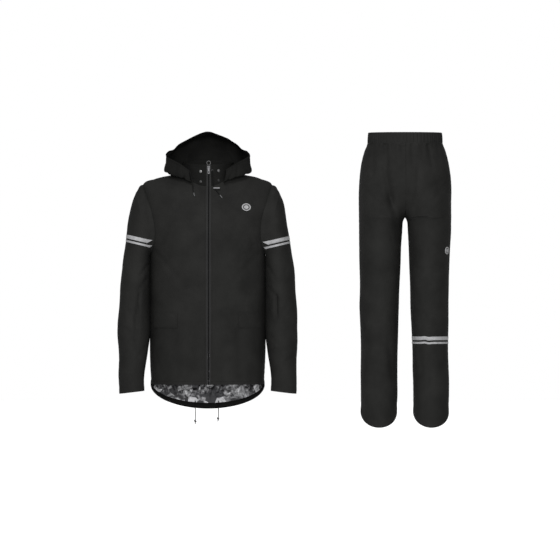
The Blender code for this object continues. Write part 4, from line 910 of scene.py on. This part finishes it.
# Darker copy of the stud metal: painted shade on the lower studs; the eyelet takes the same dark tone.
dark_and_shaded_stud_metal = painted_metal("dark_and_shaded_stud_metal", (0.016, 0.016, 0.016), 0.55)
for node, metal in (("stud_upper_left", stud_metal), ("stud_upper_right", stud_metal),
                    ("stud_lower_left", dark_and_shaded_stud_metal), ("stud_lower_right", dark_and_shaded_stud_metal),
                    ("collar_eyelet", dark_and_shaded_stud_metal)):
    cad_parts[node].data.materials.clear()
    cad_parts[node].data.materials.append(metal)


def braided(name, color):
    """Braided cord: dark threads whose light and dark strands cross in its UV as two waves."""
    return woven(name, tuple(0.7 * c for c in color), tuple(1.4 * c for c in color), roughness=0.8,
                 specular=0.02, mottle=300.0, weave=0.00020)


def tube(name, path, radii, finish, sides=20, strands=0.0):
    """Round tube along a path: a ring of its radius at each point, with crossing strand ridges.

    The ridges are the product of two sines that wind round it in opposite ways.
    """
    path, radii = np.asarray(path, float), np.broadcast_to(np.asarray(radii, float), len(path))
    ahead = unit(np.gradient(path, axis=0))
    side = unit(np.cross(ahead, np.where(np.abs(ahead[:, 1:2]) < 0.9, (0.0, 1.0, 0.0), (1.0, 0.0, 0.0))))
    up = np.cross(side, ahead)
    turn = np.arange(sides) * 2 * math.pi / sides
    gone = np.concatenate([[0.0], np.cumsum(np.linalg.norm(np.diff(path, axis=0), axis=1))])
    winding = gone[:, None] * 2 * math.pi / 0.0045
    ridge = strands * np.sin(4 * turn + winding) * np.sin(4 * turn - winding)
    around = side[:, None] * np.cos(turn)[:, None] + up[:, None] * np.sin(turn)[:, None]
    rings = path[:, None] + around * (radii[:, None] + ridge)[..., None]
    points = np.concatenate([rings.reshape(-1, 3), path[:1], path[-1:]])
    order = np.arange(len(path) * sides).reshape(len(path), sides)
    order = np.concatenate([order, order[:, :1]], axis=1)
    caps = [(len(points) - 2, order[0, k + 1], order[0, k]) for k in range(sides)]
    caps += [(len(points) - 1, order[-1, k], order[-1, k + 1]) for k in range(sides)]
    return link_mesh(name, points, [*cells(order).tolist(), *caps], finish, sharp=60)


black_cord = braided("black_braided_cord", (0.0022, 0.0022, 0.0022))
grey_cord = braided("grey_braided_cord", (0.045, 0.045, 0.045))
low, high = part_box("zip_loop")
loop_middle = (np.array(low) + np.array(high)) / 2
loop_radius = 0.5 * (high[0] - low[0]) - 0.0011
bow = np.linspace(0.0, 2 * math.pi, 80)
made = tube("top_loop", loop_middle + stack(loop_radius * np.sin(bow), 0.0 * bow, loop_radius * np.cos(bow)),
            0.0010, grey_cord, 12, 0.00008)
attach(made, "suit")
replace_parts(made, "zip_loop")


# Drawcords of the hood and of the hem
# Black braided cord. The hood's two ends leave the channel at the front and hang over the collar,
# ending in grey metal tips, the left one through a flat stop. The hem's two ends are knotted.

HOOD_CORD, HEM_CORD = 0.0030, 0.0032
CORD_ROUTES = {
    "hood_cord_left": ((0.0179, -0.0915, 0.0655), (0.0179, -0.0958, 0.0650), (0.0182, -0.0992, 0.0618),
                       (0.0186, -0.1003, 0.0550), (0.0190, -0.1005, 0.0400), (0.0205, -0.1006, 0.0220),
                       (0.0245, -0.1008, 0.0050), (0.0330, -0.1030, -0.0100), (0.0420, -0.1070, -0.0220),
                       (0.0470, -0.1095, -0.0280)),
    "hood_cord_right": ((-0.0681, -0.0951, 0.0655), (-0.0668, -0.0985, 0.0610), (-0.0645, -0.1000, 0.0530),
                        (-0.0610, -0.1005, 0.0400), (-0.0570, -0.1008, 0.0240), (-0.0550, -0.1015, 0.0080),
                        (-0.0548, -0.1040, -0.0080), (-0.0520, -0.1080, -0.0190)),
    "hem_cord_right": ((-0.0490, 0.1404, -0.8120), (-0.0497, 0.1402, -0.8400), (-0.0492, 0.1400, -0.8660),
                       (-0.0498, 0.1400, -0.8850)),
    "hem_cord_left": ((0.0390, 0.1425, -0.8120), (0.0388, 0.1420, -0.8350), (0.0392, 0.1418, -0.8560),
                      (0.0388, 0.1418, -0.8755)),
}


def even_points(route, spacing):
    """Points at one spacing along the smooth curve through a route's points."""
    fine = along(route, np.linspace(0.0, len(route) - 1.0, 400))
    gone = np.concatenate([[0.0], np.cumsum(np.linalg.norm(np.diff(fine, axis=0), axis=1))])
    marks = np.linspace(0.0, gone[-1], int(gone[-1] / spacing) + 2)
    return np.stack([np.interp(marks, gone, fine[:, k]) for k in range(3)], -1)


def overhand_knot(name, node, finish):
    """Pulled-tight knot in its node's place: a three-lobed loop of cord round the cord's line.

    The loop's radius swells with the cosine of one and a half turns as it goes down.
    """
    low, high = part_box(node)
    middle, drop = (np.array(low) + np.array(high)) / 2, high[2] - low[2]
    t = np.linspace(0.0, 1.0, 120)
    turn = 2 * math.pi * 1.6 * t
    wide = 0.0038 * np.sin(math.pi * np.clip(t / 0.86, 0.0, 1.0))
    loop = stack(wide * np.cos(turn), 0.8 * wide * np.sin(turn),
                 0.0060 - 0.0080 * t + 0.0012 * np.sin(2 * turn))
    top = np.array((middle[0], middle[1], low[2] + 0.62 * drop))
    return tube(name, top + loop, 0.0021, finish, 14, 0.00010)


for name, diameter in (("hood_cord_left", HOOD_CORD), ("hood_cord_right", HOOD_CORD),
                       ("hem_cord_left", HEM_CORD), ("hem_cord_right", HEM_CORD)):
    path = even_points(CORD_ROUTES[name], 0.0008)
    made = tube(name + "_braid", path, diameter / 2, black_cord, 20, 0.00009)
    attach(made, "suit")
    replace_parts(made, name)
    length = float(np.linalg.norm(np.diff(path, axis=0), axis=1).sum())
    if name.startswith("hem"):
        low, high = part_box(name + "_knot")
        end = path[-1]
        knot = overhand_knot(name + "_tied", name + "_knot", black_cord)
        tail_way = unit(np.array(((low[0] + high[0]) / 2 - end[0], 0.0, (low[2] + high[2]) / 2 - end[2])))
        tail = tube(name + "_tail", end + np.outer(np.linspace(0.0, 0.0160, 24), tail_way),
                    np.interp(np.linspace(0, 1, 24), (0.0, 0.75, 0.9, 1.0), (0.0013, 0.0015, 0.0019, 0.0013)),
                    black_cord, 14, 0.00008)
        for piece in (knot, tail):
            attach(piece, "suit")
        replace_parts(knot, name + "_knot")
        on_it, far_end = [knot, tail], "knot"
    else:
        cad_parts[name + "_tip"].data.materials.clear()
        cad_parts[name + "_tip"].data.materials.append(grey_metal)
        on_it, far_end = [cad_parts[name + "_tip"]], "fitting"
        if name.endswith("left"):
            on_it.append(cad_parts["cord_stop"])
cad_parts["cord_stop"].data.materials.clear()
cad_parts["cord_stop"].data.materials.append(grey_metal)


# Round badges on the chest and on the leg
# Plain light grey rubber discs, bonded on: a raised rim round a level field with one raised ring.
# One sits on the left chest and one on the outer side of the left thigh.

badge_rubber = woven("badge_rubber", (0.098, 0.098, 0.099), (0.118, 0.118, 0.120), roughness=0.6,
                     specular=0.12, mottle=120.0, weave=0.00002)
badge_field = woven("badge_field", (0.018, 0.018, 0.018), (0.024, 0.024, 0.024), roughness=0.6,
                    specular=0.06, mottle=120.0, weave=0.00002)


def badge(name, surface, place, half_width, half_height, outward):
    """Disc on a surface: rings of points round a place, raised at the rim and at one ring.

    Each ring is an ellipse in the tangent plane, dropped on to the surface along the plane.
    """
    here = np.array(place[0]), np.array(place[1])
    centre, up = surface(*here), normals(surface, *here, outward)
    across = unit(np.cross(np.array((0.0, 0.0, 1.0)), up))
    tall = np.cross(up, across)
    radii = np.array((1.0, 1.0, 0.97, 0.80, 0.76, 0.50, 0.46, 0.34, 0.30, 0.04))
    lifts = np.array((0.0, 0.0012, 0.0017, 0.0017, 0.0011, 0.0011, 0.0015, 0.0015, 0.0011, 0.0011))
    turn = np.arange(64) * 2 * math.pi / 64
    curve = np.outer(radii ** 2, half_width ** 2 * np.cos(turn) ** 2)
    rings = (centre + across * (radii[:, None] * half_width * np.cos(turn))[..., None]
             + tall * (radii[:, None] * half_height * np.sin(turn))[..., None]
             + up * (lifts[:, None] + 0.0010 - curve * 1.8)[..., None])
    order = np.arange(rings.shape[0] * 64).reshape(-1, 64)
    order = np.concatenate([order, order[:, :1]], axis=1)
    faces = [*cells(order).tolist(), order[-1, :-1].tolist(), order[0, :-1][::-1].tolist()]
    made = link_mesh(name, rings, faces, badge_rubber, sharp=40)
    made.data.materials.append(badge_field)
    field = np.zeros(len(faces), dtype=np.int32)
    field[4 * 64:5 * 64] = 1
    made.data.polygons.foreach_set("material_index", field)
    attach(made, "suit")
    return made


badge("chest_badge", front_panel("left"), (0.556, 6.06), 0.0177, 0.0143, 1.0)


# Trousers
# The same cloth, cut as a left and a right front and back. The top is gathered on to the elastic
# band, the seat is roomy, and the fronts end in rounded tongues that lie over the shoes.

TROUSER_X = 0.7496
WAIST_TOP, BAND_HEIGHT = 0.2100, 0.040
CROTCH_LEVEL, CROTCH_FRONT_DROP, THIGH_BLEND = -0.113, 0.125, 0.190
TONGUE_DROP = 0.057
BAND_ROW, CROTCH_ROW, TONGUE_ROW = 1.0, 7.0, 14.0
PELVIS_ROWS = np.array([
    # z, half width, front, back
    (WAIST_TOP, 0.1390, 0.104, 0.106),
    (WAIST_TOP - BAND_HEIGHT, 0.1425, 0.106, 0.109),
    (0.144, 0.1530, 0.114, 0.120),
    (0.106, 0.1632, 0.126, 0.134),
    (0.068, 0.1697, 0.135, 0.146),
    (0.020, 0.1740, 0.140, 0.152),
    (-0.050, 0.1757, 0.140, 0.150),
    (CROTCH_LEVEL, 0.1757, 0.136, 0.142),
])
LEG_ROWS = np.array([
    # z, right outer, right inner, left inner, left outer, front, back
    (CROTCH_LEVEL, 0.1757, 0.0010, 0.0010, 0.1757, 0.128, 0.128),
    (-0.130, 0.1757, 0.0085, 0.0085, 0.1746, 0.121, 0.122),
    (-0.170, 0.1752, 0.0110, 0.0110, 0.1738, 0.114, 0.116),
    (-0.236, 0.1744, 0.0152, 0.0137, 0.1710, 0.107, 0.109),
    (-0.350, 0.1725, 0.0194, 0.0179, 0.1668, 0.098, 0.099),
    (-0.470, 0.1715, 0.0235, 0.0210, 0.1645, 0.092, 0.092),
    (-0.600, 0.1687, 0.0272, 0.0270, 0.1642, 0.088, 0.089),
    (-0.730, 0.1683, 0.0289, 0.0304, 0.1664, 0.085, 0.086),
    (-0.852, 0.1683, 0.0308, 0.0312, 0.1662, 0.084, 0.084),
])
GATHERS = {
    # x high, z high, x low, z low, depth, half width
    "front": np.array([
        (-0.1254, 0.170, -0.1254, 0.049, 0.0050, 0.009), (-0.0780, 0.168, -0.0700, 0.090, 0.0080, 0.009),
        (-0.0460, 0.168, -0.0420, 0.120, 0.0045, 0.008), (-0.0140, 0.164, -0.0140, 0.120, 0.0045, 0.008),
        (0.0247, 0.168, 0.0247, 0.095, 0.0060, 0.009), (0.0608, 0.168, 0.0640, 0.130, 0.0045, 0.008),
        (0.0855, 0.164, 0.0990, 0.087, 0.0070, 0.009), (0.1240, 0.168, 0.1260, 0.110, 0.0045, 0.009),
        (-0.0800, 0.075, -0.0550, -0.050, 0.0110, 0.014), (-0.0570, -0.040, -0.0250, -0.170, 0.0080, 0.012),
        (0.0490, 0.060, 0.0360, -0.095, 0.0050, 0.012)]),
    "back": np.array([
        (-0.1200, 0.168, -0.1230, 0.080, 0.0050, 0.009), (-0.0850, 0.168, -0.0800, 0.105, 0.0065, 0.009),
        (-0.0480, 0.166, -0.0500, 0.070, 0.0055, 0.009), (-0.0160, 0.168, -0.0160, 0.115, 0.0045, 0.008),
        (0.0210, 0.168, 0.0190, 0.085, 0.0060, 0.009), (0.0560, 0.166, 0.0570, 0.120, 0.0050, 0.008),
        (0.0900, 0.168, 0.0960, 0.080, 0.0065, 0.009), (0.1240, 0.168, 0.1240, 0.100, 0.0045, 0.009),
        (0.0650, 0.030, 0.0300, -0.130, 0.0080, 0.014), (-0.0600, 0.020, -0.0350, -0.120, 0.0070, 0.014)]),
}
LEG_CREASES = {
    # x from the middle and z at both ends, depth, half width
    "front": ((-0.150, -0.010, -0.090, -0.070, 0.0024, 0.010), (0.150, 0.010, 0.100, -0.055, 0.0022, 0.010),
              (-0.060, -0.590, -0.045, -0.720, 0.0045, 0.014),
              (-0.120, -0.420, -0.080, -0.460, 0.0024, 0.011),
              (-0.130, -0.500, -0.085, -0.480, 0.0020, 0.010), (0.050, -0.440, 0.100, -0.465, 0.0022, 0.011),
              (0.130, -0.520, 0.085, -0.500, 0.0020, 0.010), (0.090, -0.640, 0.100, -0.780, 0.0022, 0.012),
              (-0.130, -0.660, -0.120, -0.800, 0.0020, 0.012), (0.052, -0.600, 0.060, -0.700, 0.0024, 0.010)),
    "back": ((-0.140, -0.030, -0.080, -0.090, 0.0028, 0.011), (0.140, -0.030, 0.080, -0.090, 0.0028, 0.011),
             (-0.140, -0.420, -0.060, -0.440, 0.0030, 0.011), (0.140, -0.430, 0.060, -0.440, 0.0030, 0.011),
             (-0.130, -0.480, -0.070, -0.470, 0.0024, 0.010), (0.130, -0.470, 0.070, -0.480, 0.0024, 0.010),
             (-0.100, -0.640, -0.095, -0.800, 0.0022, 0.013), (0.100, -0.640, 0.105, -0.800, 0.0022, 0.013)),
}


def fuller(value):
    """Sine or cosine raised to a power just under one, which fills out an oval's corners."""
    return np.sign(value) * np.abs(value) ** 0.92


def trouser_half(leg, face):
    """A quarter oval at the hips that slides into the leg's half oval, as the seam turns under.

    Share 0 is the outer seam and share 1 the middle or inner seam.
    """
    sign = -1.0 if leg == "right" else 1.0
    facing = -1.0 if face == "front" else 1.0
    outer_column, inner_column = (1, 2) if leg == "right" else (4, 3)

    def surface(share, row):
        upper, lower = along(PELVIS_ROWS, row), along(LEG_ROWS, row - CROTCH_ROW)
        below = row > CROTCH_ROW
        z = np.where(below, lower[..., 0], upper[..., 0])
        fall = np.clip((CROTCH_LEVEL + CROTCH_FRONT_DROP - z) / CROTCH_FRONT_DROP, 0.0, 1.0)
        to_leg = step(CROTCH_LEVEL + THIGH_BLEND - z, 0.0, THIGH_BLEND)
        reach = 1.0 - 0.95 * np.sin(math.pi * np.clip(share, 0.5, 1.0))
        under = 1.0 - (1.0 - fall ** 2) ** (0.5 / reach)
        quarter = 0.5 * math.pi * share
        x_pelvis = upper[..., 1] * fuller(np.cos(quarter))
        y_pelvis = upper[..., 2 if face == "front" else 3] * fuller(np.sin(quarter))
        outer = lower[..., outer_column]
        inner = np.where(below, lower[..., inner_column], 0.5 * SEAM_GAP)
        depth = lower[..., 5 if face == "front" else 6]
        x_leg = 0.5 * (outer + inner) + 0.5 * (outer - inner) * np.cos(math.pi * share)
        y_leg = depth * np.sin(math.pi * share)
        y_full = depth * np.sin(math.pi * np.minimum(share, 0.5))
        x = np.maximum(x_pelvis + (x_leg - x_pelvis) * to_leg, 0.5 * SEAM_GAP)
        y = y_pelvis + (y_full - y_pelvis) * to_leg
        y = y + (y_leg - y) * under
        points = stack(sign * x, facing * y, z)
        loose = np.clip(np.sin(quarter * 2.0) * 2.5 + np.where(share > 0.5, 1.0, 0.0), 0.0, 1.0)
        loose = loose * np.where(below, np.sin(math.pi * share), 1.0)
        for x0, z0, x1, z1, deep, half_width in GATHERS[face]:
            run = np.array((x1 - x0, z1 - z0))
            along_it = ((points[..., 0] - x0) * run[0] + (z - z0) * run[1]) / (run @ run)
            near = np.clip(along_it, 0.0, 1.0)
            distance = np.hypot(points[..., 0] - x0 - near * run[0], (z - z0 - near * run[1]) * 0.5)
            points[..., 1] -= (facing * deep * np.exp(-(distance / half_width) ** 2)
                               * (1.0 - 0.45 * near) * loose * step(row, 0.97, 1.30))
        if face == "front":
            tongue = np.clip(row - TONGUE_ROW, 0.0, 1.0)
            points[..., 2] -= TONGUE_DROP * tongue * np.sin(math.pi * np.clip(share, 0.0, 1.0))
        points[..., 0] += TROUSER_X
        return points

    return surface


def trouser_relief(face):
    """Leg creases, small gathers under the band, unevenness, seam puckers and a thicker hem."""
    def relief(points, share, row):
        local = points - (TROUSER_X, 0.0, 0.0)
        inner = np.sin(math.pi * np.clip(share, 0.0, 1.0))
        creases = fold_depth(local, LEG_CREASES[face]) * step(inner, 0.0, 0.4)
        top = np.exp(-((row - 1.1) / 0.55) ** 2) * step(row, 1.02, 1.3)
        gathers = 0.0012 * top * np.cos(np.arctan2(local[..., 0], 0.8 * np.abs(local[..., 1]) + 0.02) * 46.0)
        hem = 0.0009 * step(row, 14.74, 14.80)
        pucker = 0.0006 * np.exp(-(inner / 0.10) ** 2) * np.sin(points[..., 2] * 2 * math.pi / 0.022)
        uneven = 0.0012 * ripple(points, 0.140, 41) + 0.0006 * creased(points, 0.110, 42)
        calm = step(row, 1.02, 1.6) * (0.25 + 0.75 * step(inner, 0.0, 0.3))
        calm = calm * (1.0 - 0.7 * step(row, 14.5, 15.0))
        return gathers + hem + (uneven + pucker) * calm - creases

    return relief


TROUSER_STEPS = np.concatenate([
    np.linspace(BAND_ROW - 0.060, 5.0, 66)[:-1], np.linspace(5.0, CROTCH_ROW, 46)[:-1],
    np.linspace(CROTCH_ROW, TONGUE_ROW, 84)[:-1], np.linspace(TONGUE_ROW, TONGUE_ROW + 1.0, 22)])
leg_lines = []
for leg, sign in (("left", 1.0), ("right", -1.0)):
    for face, facing in (("front", -1.0), ("back", 1.0)):
        node = f"trouser_{face}_{leg}"
        piece, outer, normal = cloth_piece(
            f"leg_{face}_{leg}", trouser_half(leg, face), np.linspace(0.0008, 0.9992, 60), TROUSER_STEPS,
            trouser_relief(face), rain_cloth, node, outward=-sign * facing)
        hem_row = int(np.searchsorted(TROUSER_STEPS, 14.72))
        leg_lines += [(outer[hem_row], normal[hem_row]), (outer[:, 2], normal[:, 2])]
sewing("trouser_stitches", leg_lines)
badge("leg_badge", trouser_half("left", "front"), (0.196, 10.02), 0.0150, 0.0143, 1.0)


# Elastic waistband
# A tunnel of the trouser cloth over wide elastic, gathered into even upright pleats and sewn
# through near both edges.


def waistband(angle, height):
    """Oval wall on the trousers' top row: sine across, cosine in depth."""
    z, half_width, front, back = np.moveaxis(along(PELVIS_ROWS, 1.0 - height), -1, 0)
    depth = np.where(np.cos(angle) > 0, front, back)
    gather = 1.0 + 0.006 * np.cos(18.0 * angle) * (1.0 - height)
    return stack(TROUSER_X + half_width * gather * fuller(np.sin(angle)),
                 -depth * gather * fuller(np.cos(angle)), z)


def band_relief(points, angle, height):
    """Rounded top edge and pleats: two cosines round the band that fade at the sewn edges."""
    held = np.sin(math.pi * np.clip(height, 0.0, 1.0))
    pleats = 0.0009 * np.cos(68.0 * angle + 1.5 * np.sin(7.0 * angle)) + 0.0005 * np.cos(113.0 * angle)
    return pleats * (0.35 + 0.65 * held) + 0.0012 * held ** 0.5


turns = np.linspace(0.0, 2 * math.pi, 541)[:-1]
piece, outer, normal = cloth_piece(
    "elastic_band", waistband, turns, np.linspace(0.0, 1.0, 24), band_relief, rain_cloth, "waistband",
    thick=0.0020, ring=True)
sewing("band_stitches", [(outer[3], normal[3]), (outer[-4], normal[-4])])


# Reflective tapes on the leg
# Two strips of the same grey tape, wide over narrow, bonded round the left leg below the knee.

for name, high, low, node in (("leg_tape_wide", -0.5640, -0.5775, "leg_stripe_wide"),
                              ("leg_tape_narrow", -0.5840, -0.5915, "leg_stripe_narrow")):
    levels = high + (low - high) * np.array((0.0, 0.04, 0.5, 0.96, 1.0))
    rows = CROTCH_ROW + 5.0 + (levels - LEG_ROWS[5][0]) / (LEG_ROWS[6][0] - LEG_ROWS[5][0])
    halves = []
    for face, facing in (("front", 1.0), ("back", -1.0)):
        surface = trouser_half("left", face)
        share, row = np.meshgrid(np.linspace(0.004, 0.996, 80)[::-int(facing)], rows)
        base, normal = surface(share, row), normals(surface, share, row, facing)
        lift = trouser_relief(face)(base, share, row) + 0.0009
        lift[[0, -1]] -= 0.0005
        halves.append((base + normal * lift[..., None], normal))
    outer = np.concatenate([half[0] for half in halves], axis=1)
    normal = np.concatenate([half[1] for half in halves], axis=1)
    wave = 0.0016 * np.exp(-((outer[..., 0] - TROUSER_X - 0.072) / 0.010) ** 2)
    wave -= 0.0014 * np.exp(-((outer[..., 0] - TROUSER_X - 0.088) / 0.010) ** 2)
    outer[..., 2] += np.where(outer[..., 1] < 0, wave, 0.0)
    made = wall(name, outer, outer - normal * 0.0008, silver_tape, 1.0, ring=True)
    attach(made, "suit")
    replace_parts(made, node)
    declare_cut(outer, True)


# Floor, light and camera
# A plain pale floor well below the garments, even light all round with soft panels in front and
# above, and a long lens level with the middle of the two garments.

floor_mesh = bpy.data.meshes.new("floor")
floor_corners = [(-60, -60, -2.2), (60, -60, -2.2), (60, 60, -2.2), (-60, 60, -2.2)]
floor_mesh.from_pydata(floor_corners, [], [(0, 1, 2, 3)])
floor = bpy.data.objects.new("floor", floor_mesh)
bpy.context.collection.objects.link(floor)
pale = bpy.data.materials.new("pale_floor")
pale.use_nodes = True
set_value(pale.node_tree.nodes["Principled BSDF"], Base_Color=(0.95, 0.95, 0.95, 1.0), Roughness=0.9,
          Specular_IOR_Level=0.1, Emission_Color=(1.0, 1.0, 1.0, 1.0), Emission_Strength=0.25)
floor_mesh.materials.append(pale)

world = bpy.data.worlds.new("even_light")
world.use_nodes = True
world.node_tree.nodes["Background"].inputs["Color"].default_value = (1.0, 1.0, 1.0, 1.0)
world.node_tree.nodes["Background"].inputs["Strength"].default_value = 1.0
bpy.context.scene.world = world


def soft_panel(name, place, target, size, power):
    """Square area light at a place, turned to face a target."""
    data = bpy.data.lights.new(name, "AREA")
    data.energy, data.size = power, size
    lamp = bpy.data.objects.new(name, data)
    bpy.context.collection.objects.link(lamp)
    lamp.location = place
    away = np.array(place) - np.array(target)
    lamp.rotation_euler = (math.acos(away[2] / np.linalg.norm(away)), 0.0,
                           math.atan2(away[1], away[0]) + math.pi / 2)


soft_panel("front_panel_light", (0.3, -5.0, 0.6), (0.28, 0.0, -0.35), 2.2, 480.0)
soft_panel("upper_panel_light", (-0.6, -2.4, 2.6), (0.25, 0.0, -0.2), 1.2, 150.0)

PIXEL = 0.0038
VIEW_DISTANCE = 20.0
camera_data = bpy.data.cameras.new("camera")
camera = bpy.data.objects.new("camera", camera_data)
bpy.context.collection.objects.link(camera)
camera.location = (PIXEL * (280 - 207.75), -VIEW_DISTANCE, PIXEL * (188 - 280))
camera.rotation_euler = (math.pi / 2, 0.0, 0.0)
camera_data.sensor_width = 36.0
camera_data.lens = 36.0 * VIEW_DISTANCE / (560 * PIXEL)
camera_data.clip_end = 200.0
bpy.context.scene.camera = camera
bpy.context.scene.view_settings.view_transform = "Standard"
